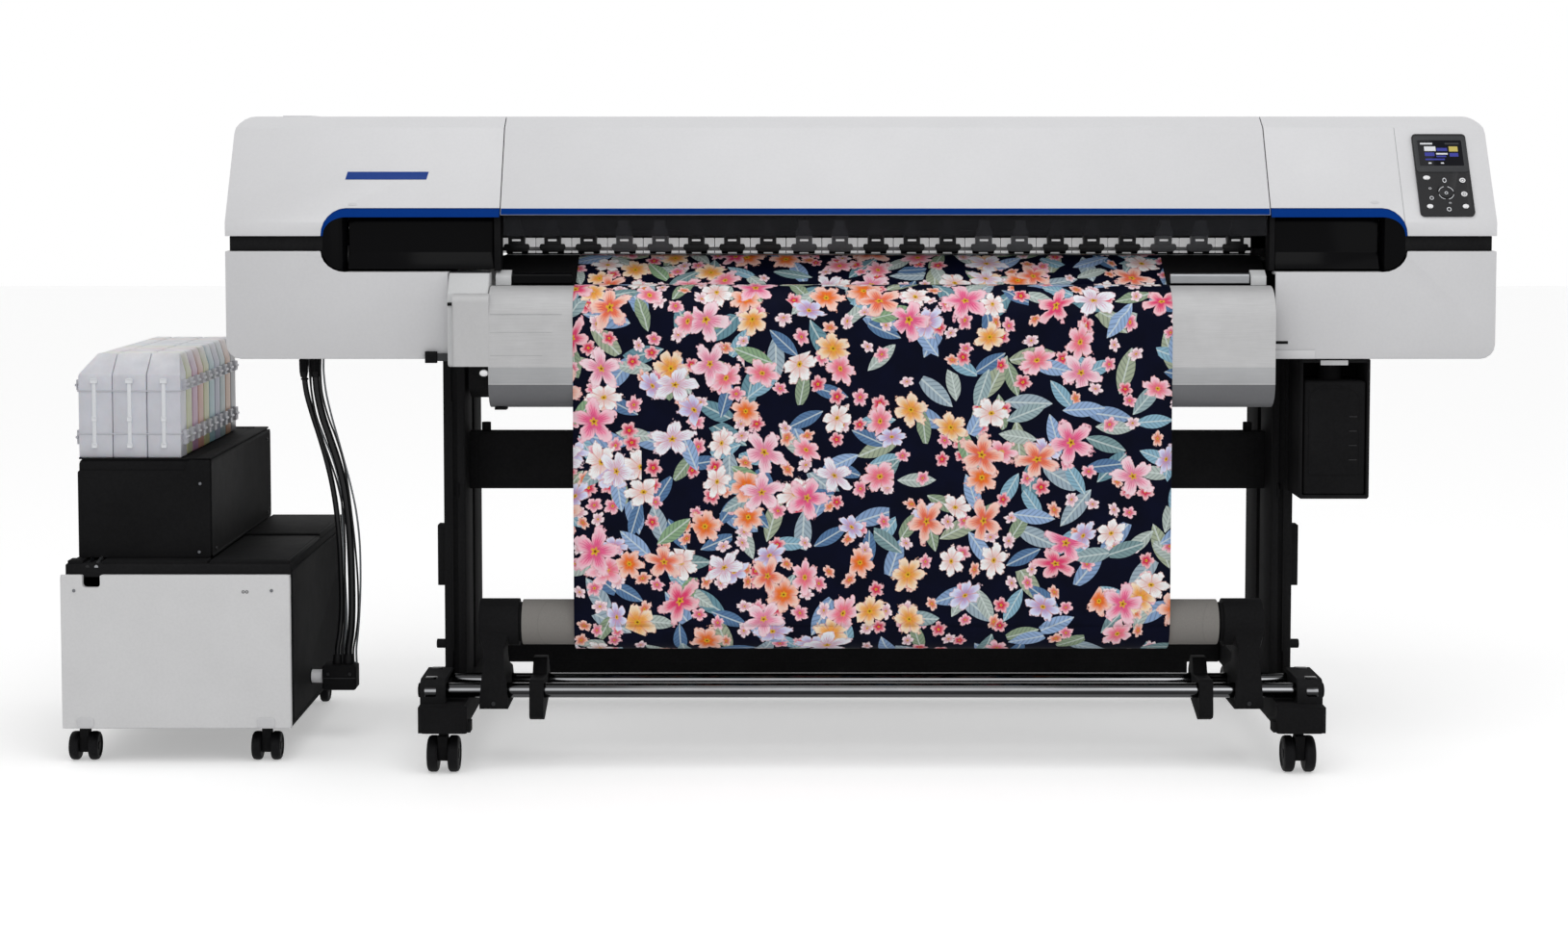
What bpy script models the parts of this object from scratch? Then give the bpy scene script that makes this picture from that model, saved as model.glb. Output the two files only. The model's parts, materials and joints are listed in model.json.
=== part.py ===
"""Wide-format roll printer with an ink-supply unit. Metres, +Z up, the front faces -Y.

The origin is the bottom centre of the whole object. X runs to the right, seen from the front.
"""
import math

import bmesh
import bpy
from mathutils import Matrix, Vector

GAP = 0.0003            # clearance between touching pieces
WALL = 0.004            # wall of the moulded casings

# printer body
BODY_X = (-1.130, 1.483)
BODY_FRONT = -0.360
BODY_REAR = 0.260
CASE_BOTTOM = 0.848
CASE_TOP = 1.070
LIP_Z = 1.101           # lower lip of the upper covers
CREASE_Z = 1.129        # where the sloping front starts
TOP_Z = 1.348
SLOPE_TOP = (-0.243, 1.325)
COVER_X = (-0.566, 1.020)       # the hinged front cover lies between these seams
COVER_EDGE_Z = 1.144            # its front edge, above the window
COVER_HINGE_Y = 0.020
WINDOW_Y = (-0.3450, -0.3415)
CORNER_R = 0.036        # rounding of the upper outer corners
RECESS_X = (-0.934, 1.300)      # outer ends of the two side recesses
RECESS_BOTTOM = 1.027
RECESS_BEND = 0.050             # how far the rounded end of a recess reaches in
RECESS_STEPS = 6
RECESS_TOP = 1.158
LEFT_CASE_END = -0.672
RIGHT_CASE_END = 1.029

# paper path
PAPER_X = (-0.575, 1.018)
PLATEN_Z = 1.0555
WEB_THICK = 0.0006
NIP_Y = -0.150
FEED_R = 0.0125
PRESS_R = 0.0105
PRESS_FIRST = -0.550
PRESS_PITCH = 0.0764
PRESS_COUNT = 21
GUIDE_FRONT = -0.4325
GUIDE_R = 0.064
MEDIA_X = (-0.4110, 0.8080)     # a 1219 mm wide medium

# stand
STAND_X = 0.1975
LEG_HALF = 0.879
LEG_W = 0.046
LEG_Y = (-0.200, 0.108)
FOOT_W = 0.092
FOOT_Y = (-0.467, 0.400)
FOOT_Z = (0.091, 0.144)
RAIL_R = 0.0155
RAIL_Z = 0.168
RAIL_Y = (-0.405, -0.300)
RAIL_X = (-0.715, 1.110)

# take-up and supply rolls
CORE_X = (-0.520, 0.911)
CORE_R = 0.0465
CORE_BORE = 0.038
WOUND_R = 0.055
TAKEUP = (-0.376, 0.305)        # y, z of the take-up axis
SUPPLY = (0.392, 0.900)         # y, z of the supply axis
SUPPLY_R = 0.075
SPINDLE_R = 0.020

# casters
STAND_WHEEL_R = 0.0375
CABINET_WHEEL_R = 0.030
CASTER_Y = (-0.425, 0.340)
TRAIL = 0.014

# ink-supply unit
CABINET_X = (-1.483, -1.006)
CABINET_Y = (-0.352, 0.360)
CABINET_Z = (0.076, 0.398)
CABINET_TOP = 0.420
TRAY_X = (-1.4575, -1.181)
TRAY_Y = (-0.293, 0.360)
TRAY_TOP = 0.633
TANK_X = (-1.458, -1.243)
TANK_Y = (-0.280, 0.290)
TANK_TOP = 0.852
TANK_COUNT = 10

# routes of the two hoses, from the socket under the case down to the connector
HOSE_R = (0.008, 0.006)
HOSE_TOP = 0.8297
CLAMP_TOP = 0.168
MAIN_ROUTE = [(-0.9895, -0.112, HOSE_TOP), (-0.9895, -0.112, 0.800), (-0.9860, -0.112, 0.755),
              (-0.9755, -0.112, 0.705), (-0.9610, -0.112, 0.660), (-0.9455, -0.112, 0.612),
              (-0.9325, -0.112, 0.560), (-0.9235, -0.113, 0.500), (-0.9185, -0.114, 0.430),
              (-0.9160, -0.115, 0.350), (-0.9160, -0.116, 0.280), (-0.9190, -0.116, 0.235),
              (-0.9240, -0.116, 0.200), (-0.9240, -0.116, CLAMP_TOP + GAP)]
SECOND_ROUTE = [(-1.0150, -0.112, HOSE_TOP), (-1.0150, -0.112, 0.805), (-1.0100, -0.111, 0.758),
                (-0.9985, -0.109, 0.712), (-0.9840, -0.107, 0.664), (-0.9700, -0.106, 0.614),
                (-0.9580, -0.105, 0.560), (-0.9490, -0.105, 0.500), (-0.9430, -0.105, 0.430),
                (-0.9400, -0.106, 0.350), (-0.9395, -0.108, 0.285), (-0.9430, -0.113, 0.235),
                (-0.9480, -0.116, 0.200), (-0.9480, -0.116, CLAMP_TOP + GAP)]

# control panel, set on the sloping front of the right cover
PANEL_X = (1.327, 1.439)
PANEL_Z = (1.140, 1.308)
PANEL_THICK = 0.006
BUTTON_RISE = 0.0012
BUTTON_POCKET = 0.003
BUTTON_TRAVEL = 0.0011          # room between a button and its pocket's floor
BUTTONS = {             # x, z, width, height, finish
    "power_button": (1.3475, 1.2170, 0.0150, 0.0095, "white"),
    "pad_button": (1.3840, 1.1893, 0.0340, 0.0300, "black"),
    "back_button": (1.3475, 1.1585, 0.0130, 0.0100, "white"),
    "feed_button": (1.4210, 1.1585, 0.0130, 0.0100, "white"),
}

FINISH = {              # colour, metallic, roughness
    "white": ((0.78, 0.78, 0.79), 0.0, 0.45),
    "grey": ((0.55, 0.56, 0.57), 0.0, 0.45),
    "black": ((0.015, 0.015, 0.017), 0.0, 0.45),
    "steel": ((0.25, 0.26, 0.27), 0.9, 0.40),
    "sheet": ((0.50, 0.51, 0.52), 0.3, 0.40),
    "chrome": ((0.75, 0.75, 0.76), 1.0, 0.15),
    "smoke": ((0.05, 0.05, 0.06), 0.0, 0.10),
    "rubber": ((0.02, 0.02, 0.02), 0.0, 0.70),
    "card": ((0.30, 0.29, 0.28), 0.0, 0.80),
    "media": ((0.10, 0.11, 0.20), 0.0, 0.70),
    "tank": ((0.80, 0.82, 0.84), 0.0, 0.30),
}


def clear_scene():
    for item in list(bpy.data.objects):
        bpy.data.objects.remove(item, do_unlink=True)


def make_collection(name):
    group = bpy.data.collections.new(name)
    bpy.context.scene.collection.children.link(group)
    return group


clear_scene()
PARTS = make_collection("roll_printer")
CUTTERS = make_collection("cutters")


# ---------------------------------------------------------------- shared tools
def adopt(item, name, group):
    """Name an object and keep it in one collection only."""
    for old in list(item.users_collection):
        old.objects.unlink(item)
    group.objects.link(item)
    item.name = name
    item.data.name = name
    return item


def paint(item, finish):
    colour, metallic, roughness = FINISH[finish]
    mat = bpy.data.materials.new(item.name)
    mat.use_nodes = True
    shader = mat.node_tree.nodes["Principled BSDF"]
    shader.inputs["Base Color"].default_value = (*colour, 1.0)
    shader.inputs["Metallic"].default_value = metallic
    shader.inputs["Roughness"].default_value = roughness
    item.data.materials.clear()
    item.data.materials.append(mat)
    return item


def as_tool(item):
    """Turn an object into a cutter that the build leaves out."""
    adopt(item, item.name, CUTTERS)
    item.hide_render = True
    item.display_type = "WIRE"
    return item


def to_mesh(item):
    """Replace a curve by a mesh with welded caps."""
    graph = bpy.context.evaluated_depsgraph_get()
    graph.update()
    data = bpy.data.meshes.new_from_object(item.evaluated_get(graph))
    work = bmesh.new()
    work.from_mesh(data)
    bmesh.ops.remove_doubles(work, verts=work.verts, dist=0.00001)
    work.to_mesh(data)
    work.free()
    name = item.name
    place = item.matrix_world.copy()
    bpy.data.objects.remove(item, do_unlink=True)
    solid = bpy.data.objects.new(name, data)
    solid.matrix_world = place
    PARTS.objects.link(solid)
    return solid


def box(name, x, y, z, bevel=0.0, segments=2):
    """A block between the given limits."""
    centre = ((x[0] + x[1]) / 2, (y[0] + y[1]) / 2, (z[0] + z[1]) / 2)
    bpy.ops.mesh.primitive_cube_add(size=1, location=centre)
    item = adopt(bpy.context.object, name, PARTS)
    size = Matrix.Diagonal((x[1] - x[0], y[1] - y[0], z[1] - z[0], 1))
    item.data.transform(size)
    if bevel:
        edge = item.modifiers.new("edges", "BEVEL")
        edge.width = bevel
        edge.segments = segments
    return item


def rod(name, start, length, radius, axis="X", sides=20):
    """A cylinder that starts at a point and runs along +axis."""
    turn = {"X": (0, math.pi / 2, 0), "Y": (-math.pi / 2, 0, 0), "Z": (0, 0, 0)}[axis]
    way = {"X": Vector((1, 0, 0)), "Y": Vector((0, 1, 0)), "Z": Vector((0, 0, 1))}[axis]
    centre = Vector(start) + way * (length / 2)
    bpy.ops.mesh.primitive_cylinder_add(vertices=sides, radius=radius, depth=length,
                                        location=centre, rotation=turn)
    return adopt(bpy.context.object, name, PARTS)


def rounded(points, steps=4):
    """Outline whose corners (a, b, radius) become arcs; a corner (a, b) stays sharp."""
    result = []
    count = len(points)
    for i, corner in enumerate(points):
        here = Vector(corner[:2])
        radius = corner[2] if len(corner) > 2 else 0
        if not radius:
            result.append(here)
            continue
        back = (Vector(points[i - 1][:2]) - here).normalized()
        ahead = (Vector(points[(i + 1) % count][:2]) - here).normalized()
        half = back.angle(ahead) / 2
        centre = here + (back + ahead).normalized() * (radius / math.sin(half))
        first = here + back * (radius / math.tan(half)) - centre
        last = here + ahead * (radius / math.tan(half)) - centre
        sweep = first.angle_signed(last)
        for k in range(steps + 1):
            angle = -sweep * k / steps
            spin = Matrix.Rotation(angle, 2)
            result.append(centre + spin @ first)
    return result


def arc(centre, radius, start, end, steps):
    """Points of an arc in degrees, from start to end."""
    result = []
    for k in range(steps + 1):
        angle = math.radians(start + (end - start) * k / steps)
        result.append((centre[0] + radius * math.cos(angle), centre[1] + radius * math.sin(angle)))
    return result


def slab(name, points, span, plane="YZ", steps=4):
    """A flat outline pushed through the span on the remaining axis."""
    outline = rounded(points, steps)
    data = bpy.data.curves.new(name, "CURVE")
    data.dimensions = "2D"
    data.fill_mode = "BOTH"
    data.extrude = (span[1] - span[0]) / 2
    line = data.splines.new("POLY")
    line.points.add(len(outline) - 1)
    for point, place in zip(line.points, outline):
        point.co = (place.x, place.y, 0, 1)
    line.use_cyclic_u = True
    item = bpy.data.objects.new(name, data)
    PARTS.objects.link(item)
    middle = (span[0] + span[1]) / 2
    if plane == "YZ":
        item.rotation_euler = (math.pi / 2, 0, math.pi / 2)
        item.location = (middle, 0, 0)
    elif plane == "XZ":
        item.rotation_euler = (math.pi / 2, 0, 0)
        item.location = (0, middle, 0)
    else:
        item.location = (0, 0, middle)
    bpy.context.view_layer.update()
    return to_mesh(item)


def turned(name, profile, y, z, x0=0.0, sides=24):
    """A shape turned about an axis along X. The profile holds (x, radius) from left to right."""
    work = bmesh.new()
    verts = [work.verts.new((radius, 0, -x)) for x, radius in profile]
    for a, b in zip(verts, verts[1:]):
        work.edges.new((a, b))
    data = bpy.data.meshes.new(name)
    work.to_mesh(data)
    work.free()
    item = bpy.data.objects.new(name, data)
    PARTS.objects.link(item)
    screw = item.modifiers.new("turn", "SCREW")
    screw.axis = "Z"
    screw.steps = sides
    screw.render_steps = sides
    screw.use_merge_vertices = True
    screw.merge_threshold = 0.0001
    screw.use_smooth_shade = False
    item.rotation_euler = (0, -math.pi / 2, 0)
    item.location = (x0, y, z)
    return item


def combine(item, others, operation):
    """Add or cut with a list of other objects, which become tools."""
    for other in others:
        step = item.modifiers.new(operation.lower(), "BOOLEAN")
        step.operation = operation
        step.object = as_tool(other)
        step.solver = "EXACT"
    return item


def add(item, *others):
    return combine(item, others, "UNION")


def cut(item, *others):
    return combine(item, others, "DIFFERENCE")


def smooth_route(route, gap):
    """Points at an even spacing along a smooth curve through the route's own points."""
    fine = []
    for i in range(len(route) - 1):
        before = Vector(route[max(i - 1, 0)])
        here = Vector(route[i])
        after = Vector(route[i + 1])
        beyond = Vector(route[min(i + 2, len(route) - 1)])
        for k in range(20):
            t = k / 20
            fine.append(0.5 * (2 * here + (after - before) * t
                               + (2 * before - 5 * here + 4 * after - beyond) * t ** 2
                               + (3 * here - before - 3 * after + beyond) * t ** 3))
    fine.append(Vector(route[-1]))
    total = sum((b - a).length for a, b in zip(fine, fine[1:]))
    count = max(2, round(total / gap))
    result = [fine[0]]
    walked = 0.0
    for a, b in zip(fine, fine[1:]):
        walked += (b - a).length
        if walked >= total * len(result) / count and len(result) < count:
            result.append(b)
    result.append(fine[-1])
    return result


def tube(name, route, radius, finish):
    """A round hose along a route."""
    points = smooth_route(route, radius * 2.6)
    data = bpy.data.curves.new(name, "CURVE")
    data.dimensions = "3D"
    data.bevel_depth = radius
    data.bevel_resolution = 2
    data.use_fill_caps = True
    line = data.splines.new("POLY")
    line.points.add(len(points) - 1)
    for point, place in zip(line.points, points):
        point.co = (*place, 1)
    item = bpy.data.objects.new(name, data)
    PARTS.objects.link(item)
    return paint(item, finish)


def set_origin(item, place):
    """Move an object's origin to a joint's axis without moving its shape."""
    place = Vector(place)
    bpy.context.view_layer.update()
    item.data.transform(Matrix.Translation(item.matrix_world.inverted() @ place).inverted())
    item.location = place
    return item


# ---------------------------------------------------------------- printer body
def cover_outline(inset, bottom, rear):
    """Side view of the upper covers: lip, sloping front, top and back."""
    top = TOP_Z - inset
    front = BODY_FRONT + inset
    slope_y = SLOPE_TOP[0] + inset * 0.9
    slope_z = SLOPE_TOP[1] - inset * 0.45
    return [(front, bottom), (front, CREASE_Z), (slope_y, slope_z, 0.012), (slope_y + 0.042, top, 0.02),
            (rear - inset, top, 0.02), (rear - inset, bottom)]


def corner_cutter(name, x, z, way, radius):
    """What rounds off the upper outer corner of a side cover."""
    centre = (x + way * radius, z - radius)
    start = 180 if way > 0 else 0
    bend = arc(centre, radius, start, 90, 5)
    outline = [(x - way * 0.02, z - radius)] + bend + [(centre[0], z + 0.02), (x - way * 0.02, z + 0.02)]
    return slab(name, outline if way < 0 else outline[::-1], (-0.5, 0.5), "XZ")


def recess_bend(end, way, start_z, far_z):
    """Quarter ellipse that rounds the outer end of a side recess, from its mouth to its top or bottom."""
    centre = end + way * RECESS_BEND
    result = []
    for k in range(RECESS_STEPS + 1):
        angle = math.pi / 2 * k / RECESS_STEPS
        result.append((centre - way * RECESS_BEND * math.cos(angle), start_z + (far_z - start_z) * math.sin(angle)))
    return result


def side_cover(name, outer, inner, recess_end):
    """Fixed upper cover at one end of the body, open below and towards the middle."""
    span = (min(outer, inner), max(outer, inner))
    item = slab(name, cover_outline(0, LIP_Z, BODY_REAR), span)
    way = 1 if inner > outer else -1
    hollow = slab(name + "_hollow", cover_outline(WALL, LIP_Z - 0.02, BODY_REAR),
                  (min(outer + way * WALL, inner + way * 0.02), max(outer + way * WALL, inner + way * 0.02)))
    corner = corner_cutter(name + "_corner", outer, TOP_Z, way, CORNER_R)
    inner_corner = corner_cutter(name + "_inner_corner", outer + way * WALL, TOP_Z - WALL, way,
                                 CORNER_R - WALL)
    cut(hollow, inner_corner)
    opening = slab(name + "_recess",
                   [(recess_end, LIP_Z - 0.02)] + recess_bend(recess_end, way, LIP_Z, RECESS_TOP)
                   + [(inner + way * 0.02, RECESS_TOP), (inner + way * 0.02, LIP_Z - 0.02)],
                   (BODY_FRONT - 0.02, BODY_FRONT + 0.06), "XZ")
    return paint(cut(item, hollow, corner, opening), "white")


def lower_case(name, outer, inner, recess_end):
    """Lower case at one end of the body, a tray open above and towards the middle."""
    way = 1 if inner > outer else -1
    item = slab(name, [(outer, CASE_BOTTOM, 0.03), (inner, CASE_BOTTOM), (inner, CASE_TOP), (outer, CASE_TOP)]
                if way > 0 else
                [(inner, CASE_BOTTOM), (outer, CASE_BOTTOM, 0.03), (outer, CASE_TOP), (inner, CASE_TOP)],
                (BODY_FRONT, BODY_REAR), "XZ")
    inside = (min(outer + way * WALL, inner + way * 0.02), max(outer + way * WALL, inner + way * 0.02))
    hollow = box(name + "_hollow", inside, (BODY_FRONT + WALL, BODY_REAR - WALL),
                 (CASE_BOTTOM + WALL + 0.008, CASE_TOP + 0.02))
    low = slab(name + "_recess",
               [(recess_end, CASE_TOP + 0.02)] + recess_bend(recess_end, way, CASE_TOP, RECESS_BOTTOM)
               + [(inner + way * 0.02, RECESS_BOTTOM), (inner + way * 0.02, CASE_TOP + 0.02)],
               (BODY_FRONT - 0.02, BODY_FRONT + 0.045), "XZ")
    shelf_end = recess_end + way * RECESS_BEND
    shelf = box(name + "_shelf", (min(shelf_end, inner), max(shelf_end, inner)),
                (BODY_FRONT + WALL / 2, BODY_FRONT + 0.044), (RECESS_BOTTOM - 0.006, RECESS_BOTTOM))
    return add(cut(item, hollow, low), shelf)


def build_cases():
    left = lower_case("lower_case_left", BODY_X[0], LEFT_CASE_END, RECESS_X[0])
    sockets = [rod("socket_" + str(k), (route[0][0], route[0][1], HOSE_TOP + GAP),
                   CASE_BOTTOM + 0.004 - HOSE_TOP, radius + 0.004, "Z", 16)
               for k, (route, radius) in enumerate(zip((MAIN_ROUTE, SECOND_ROUTE), HOSE_R))]
    paint(add(left, *sockets), "grey")
    paint(lower_case("lower_case_right", BODY_X[1], RIGHT_CASE_END, RECESS_X[1]), "grey")


def access_cover(name, span):
    """Black cover in a side recess; it swings forward about its lower edge."""
    item = slab(name, [(-0.334, 1.032), (-0.330, 1.032), (-0.312, 1.066, 0.01), (-0.312, 1.150),
                       (-0.316, 1.150), (-0.316, 1.067, 0.008)], span, steps=3)
    set_origin(item, (sum(span) / 2, -0.333, 1.033))
    return paint(item, "black")


def build_covers():
    side_cover("left_top_cover", BODY_X[0], COVER_X[0] - 0.001, RECESS_X[0])
    side_cover("right_top_cover", BODY_X[1], COVER_X[1] + 0.001, RECESS_X[1])
    access_cover("left_access_cover", (RECESS_X[0] + 0.052, COVER_X[0] - 0.010))
    access_cover("right_access_cover", (COVER_X[1] + 0.012, RECESS_X[1] - 0.052))
    joint_y = COVER_HINGE_Y + 0.006
    rear = slab("rear_case", [(joint_y, TOP_Z), (joint_y, TOP_Z - WALL), (BODY_REAR - WALL, TOP_Z - WALL, 0.016),
                              (BODY_REAR - WALL, 1.10), (BODY_REAR, 1.10), (BODY_REAR, TOP_Z, 0.02)],
                (COVER_X[0], COVER_X[1]))
    paint(rear, "white")
    build_front_cover()


def build_front_cover():
    """The centre cover: sloping front and top, hinged along its rear edge, with a window under it."""
    slope_y, slope_z = SLOPE_TOP
    outline = [(BODY_FRONT + 0.0080, COVER_EDGE_Z), (slope_y, slope_z, 0.012), (slope_y + 0.042, TOP_Z, 0.02),
               (COVER_HINGE_Y, TOP_Z), (COVER_HINGE_Y, TOP_Z - WALL), (slope_y + 0.044, TOP_Z - WALL, 0.018),
               (slope_y + WALL * 1.1, slope_z - WALL * 0.3, 0.010), (BODY_FRONT + 0.0125, COVER_EDGE_Z)]
    span = (COVER_X[0] + 0.0008, COVER_X[1] - 0.0008)
    hinge = (sum(span) / 2, COVER_HINGE_Y, TOP_Z)
    cover = slab("front_cover", outline, span)
    paint(set_origin(cover, hinge), "white")
    pane_x = (span[0] + 0.006, span[1] - 0.006)
    window = box("front_window", pane_x, WINDOW_Y, (LIP_Z - 0.0005, COVER_EDGE_Z - GAP))
    flange = box("window_top", pane_x, (WINDOW_Y[0], WINDOW_Y[1] + 0.0035), (COVER_EDGE_Z - 0.006, COVER_EDGE_Z - GAP))
    add(window, flange)
    paint(set_origin(window, hinge), "smoke")


def build_chassis():
    """Side plates, rear beam, waist bands and the carriage rail as one welded frame."""
    base = box("chassis", (-1.110, 1.463), (0.020, 0.250), (0.870, 1.035))
    left_plate = box("plate_left", (-1.118, -1.108), (-0.225, 0.250), (0.866, 1.300))
    right_plate = box("plate_right", (1.461, 1.471), (-0.225, 0.250), (0.866, 1.300))
    rail = box("carriage_rail", (-1.110, 1.463), (-0.030, 0.030), (1.150, 1.210))
    left_band = box("band_left", (-1.122, RECESS_X[0] + 0.003), (-0.352, 0.250), (CASE_TOP + GAP, LIP_Z - GAP))
    right_band = box("band_right", (RECESS_X[1] - 0.003, 1.475), (-0.352, 0.250),
                     (CASE_TOP + GAP, LIP_Z - GAP))
    paint(add(base, left_plate, right_plate, rail, left_band, right_band), "black")


def build_side_block():
    """Block that carries the left end of the media guide."""
    outline = [(-0.400, 0.834, 0.012), (-0.205, 0.834), (-0.205, 1.026), (-0.366, 1.026, 0.006),
               (-0.400, 0.985, 0.012)]
    paint(slab("side_block", outline, (-0.6695, -0.5855)), "grey")


# ---------------------------------------------------------------- paper path
def build_platen():
    """Paper path floor with a trough for the feed roller and a sloping front."""
    floor = PLATEN_Z
    thin = 0.006
    outline = [(-0.335, 0.9985), (-0.240, floor), (-0.166, floor), (-0.166, 1.026), (-0.134, 1.026),
               (-0.134, floor), (0.250, floor), (0.250, floor - thin), (-0.128, floor - thin),
               (-0.128, 1.018), (-0.172, 1.018), (-0.172, floor - thin), (-0.242, floor - thin),
               (-0.333, 0.9900)]
    paint(slab("platen", outline[::-1], PAPER_X), "black")


def build_feed():
    """Feed roller below the paper path and the row of pressure rollers above it."""
    length = PAPER_X[1] - PAPER_X[0] - 0.010
    feed = turned("feed_roller", [(0, 0), (0, FEED_R), (length, FEED_R), (length, 0)],
                  NIP_Y, PLATEN_Z - FEED_R, PAPER_X[0] + 0.005, 20)
    paint(feed, "steel")
    press_z = PLATEN_Z + 0.0014 + PRESS_R
    profile = [(-0.012, 0), (-0.012, 0.004)]
    for k in range(PRESS_COUNT):
        centre = 0.030 + k * PRESS_PITCH
        profile += [(centre - 0.028, 0.004), (centre - 0.0275, PRESS_R), (centre + 0.0275, PRESS_R),
                    (centre + 0.028, 0.004)]
    last = 0.030 + (PRESS_COUNT - 1) * PRESS_PITCH
    profile += [(last + 0.036, 0.004), (last + 0.036, 0)]
    press = turned("pressure_rollers", profile, NIP_Y, press_z, PRESS_FIRST - 0.030, 10)
    paint(press, "rubber")


def build_roller_bar():
    """White bar that carries the pressure-roller arms."""
    item = slab("roller_bar", [(-0.138, 1.058), (-0.120, 1.058), (-0.120, 1.096), (-0.062, 1.096),
                               (-0.062, 1.108), (-0.138, 1.108)], (PAPER_X[0], PAPER_X[1]))
    arm = box("arm", (PRESS_FIRST - 0.025, PRESS_FIRST + 0.025), (-0.166, -0.130), (1.084, 1.112))
    row = arm.modifiers.new("row", "ARRAY")
    row.count = PRESS_COUNT
    row.use_relative_offset = False
    row.use_constant_offset = True
    row.constant_offset_displace = (PRESS_PITCH, 0, 0)
    paint(add(item, arm), "white")


def build_media_guide():
    """Curved sheet-metal guide with its heater strip, open at the back."""
    skin = 0.004
    centre = (GUIDE_FRONT + GUIDE_R, 0.9355)
    low = (GUIDE_FRONT + 0.050, 0.801)
    outer = [(-0.345, 0.9985)] + arc(centre, GUIDE_R, 90, 180, 7) + arc(low, 0.050, 180, 265, 5)
    outer += [(-0.330, 0.7480)]
    inner = [(-0.330, 0.7480 + skin)] + arc(low, 0.050 - skin, 265, 180, 5)
    inner += arc(centre, GUIDE_R - skin, 180, 90, 7) + [(-0.345, 0.9985 - skin)]
    paint(slab("media_guide", outer + inner, (-0.583, 1.018)), "sheet")


def web_path():
    """Centre line of the medium, from the supply roll to the take-up roll."""
    level = PLATEN_Z + GAP + WEB_THICK / 2 + 0.0002
    reach = SUPPLY_R + 0.0008
    enter = (0.256, level + 0.0006)
    offset = Vector(enter) - Vector(SUPPLY)
    lean = math.atan2(offset.y, offset.x) - math.acos(reach / offset.length)
    start = (SUPPLY[0] + reach * math.cos(lean), SUPPLY[1] + reach * math.sin(lean))
    centre = (GUIDE_FRONT + GUIDE_R, 0.9355)
    path = [start, enter, (0.240, level), (-0.2415, level), (-0.340, 1.0004)]
    path += arc(centre, GUIDE_R + 0.0010, 90, 180, 9)
    path += [(TAKEUP[0] - WOUND_R - 0.0008, TAKEUP[1])]
    return path


def build_web():
    """The medium as one thin sheet along its path."""
    path = [Vector(p) for p in web_path()]
    half = WEB_THICK / 2
    upper = []
    lower = []
    for i, here in enumerate(path):
        way = (path[min(i + 1, len(path) - 1)] - path[max(i - 1, 0)]).normalized()
        side = Vector((-way.y, way.x)) * half
        upper.append(here - side)
        lower.append(here + side)
    outline = [tuple(p) for p in upper] + [tuple(p) for p in reversed(lower)]
    paint(slab("media_web", outline[::-1], MEDIA_X), "media")


def build_carriage():
    """Carriage with its print head, hung in front of the rail; parked at the right."""
    head_rear = -0.172
    rail_front = -0.0305
    outline = [(-0.236, 1.0600), (head_rear, 1.0600), (head_rear, 1.120), (rail_front, 1.120),
               (rail_front, 1.2104), (0.020, 1.2104), (0.020, 1.220), (-0.285, 1.205, 0.01), (-0.285, 1.120),
               (-0.236, 1.120)]
    paint(slab("carriage", outline, (1.070, 1.250)), "steel")


def build_loading_lever():
    """Lever at the rear right that lifts the pressure rollers for loading."""
    hub = rod("loading_lever", (1.000, 0.276, 1.068), 0.026, 0.012, "X", 20)
    arm = slab("lever_arm", [(0.270, 1.064), (0.330, 1.092, 0.004), (0.340, 1.120, 0.004), (0.330, 1.124, 0.004),
                             (0.318, 1.100, 0.004), (0.270, 1.078)], (1.004, 1.020))
    add(hub, arm)
    paint(hub, "grey")


# ---------------------------------------------------------------- control panel
def slope_point(x, z, lift):
    """A point on the sloping front of the covers, raised off its surface."""
    low = Vector((BODY_FRONT, CREASE_Z))
    high = Vector(SLOPE_TOP)
    way = (high - low).normalized()
    place = low + way * ((z - low.y) / way.y)
    out = Vector((-way.y, way.x))
    return Vector((x, place.x + out.x * lift, place.y + out.y * lift))


def lean_angle():
    way = Vector(SLOPE_TOP) - Vector((BODY_FRONT, CREASE_Z))
    return -math.atan2(way.x, way.y)


def button(name, x, z, width, height, finish):
    """A button in its own pocket of the panel; it presses in by about a millimetre."""
    pocket_floor = PANEL_THICK + GAP - BUTTON_POCKET
    depth = BUTTON_RISE + BUTTON_POCKET - BUTTON_TRAVEL
    centre = slope_point(x, z, pocket_floor + BUTTON_TRAVEL + depth / 2)
    bpy.ops.mesh.primitive_cylinder_add(vertices=16, radius=0.5, depth=depth, location=centre)
    item = adopt(bpy.context.object, name, PARTS)
    item.data.transform(Matrix.Diagonal((width, height, 1, 1)))
    item.rotation_euler = (math.pi / 2 + lean_angle(), 0, 0)
    cutter_depth = BUTTON_POCKET + 0.01
    middle = slope_point(x, z, pocket_floor + cutter_depth / 2)
    bpy.ops.mesh.primitive_cylinder_add(vertices=16, radius=0.5, depth=cutter_depth, location=middle)
    pocket = adopt(bpy.context.object, name + "_pocket", PARTS)
    pocket.data.transform(Matrix.Diagonal((width + 0.0012, height + 0.0012, 1, 1)))
    pocket.rotation_euler = item.rotation_euler
    paint(item, finish)
    return pocket


def build_control_panel():
    centre_x = sum(PANEL_X) / 2
    centre_z = sum(PANEL_Z) / 2
    low = slope_point(centre_x, PANEL_Z[0], 0)
    high = slope_point(centre_x, PANEL_Z[1], 0)
    height = (high - low).length
    middle = slope_point(centre_x, centre_z, GAP + PANEL_THICK / 2)
    bpy.ops.mesh.primitive_cube_add(size=1, location=middle)
    panel = adopt(bpy.context.object, "control_panel", PARTS)
    panel.data.transform(Matrix.Diagonal((PANEL_X[1] - PANEL_X[0], height, PANEL_THICK, 1)))
    panel.rotation_euler = (math.pi / 2 + lean_angle(), 0, 0)
    pockets = [button(name, *values) for name, values in BUTTONS.items()]
    paint(cut(panel, *pockets), "black")


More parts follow.
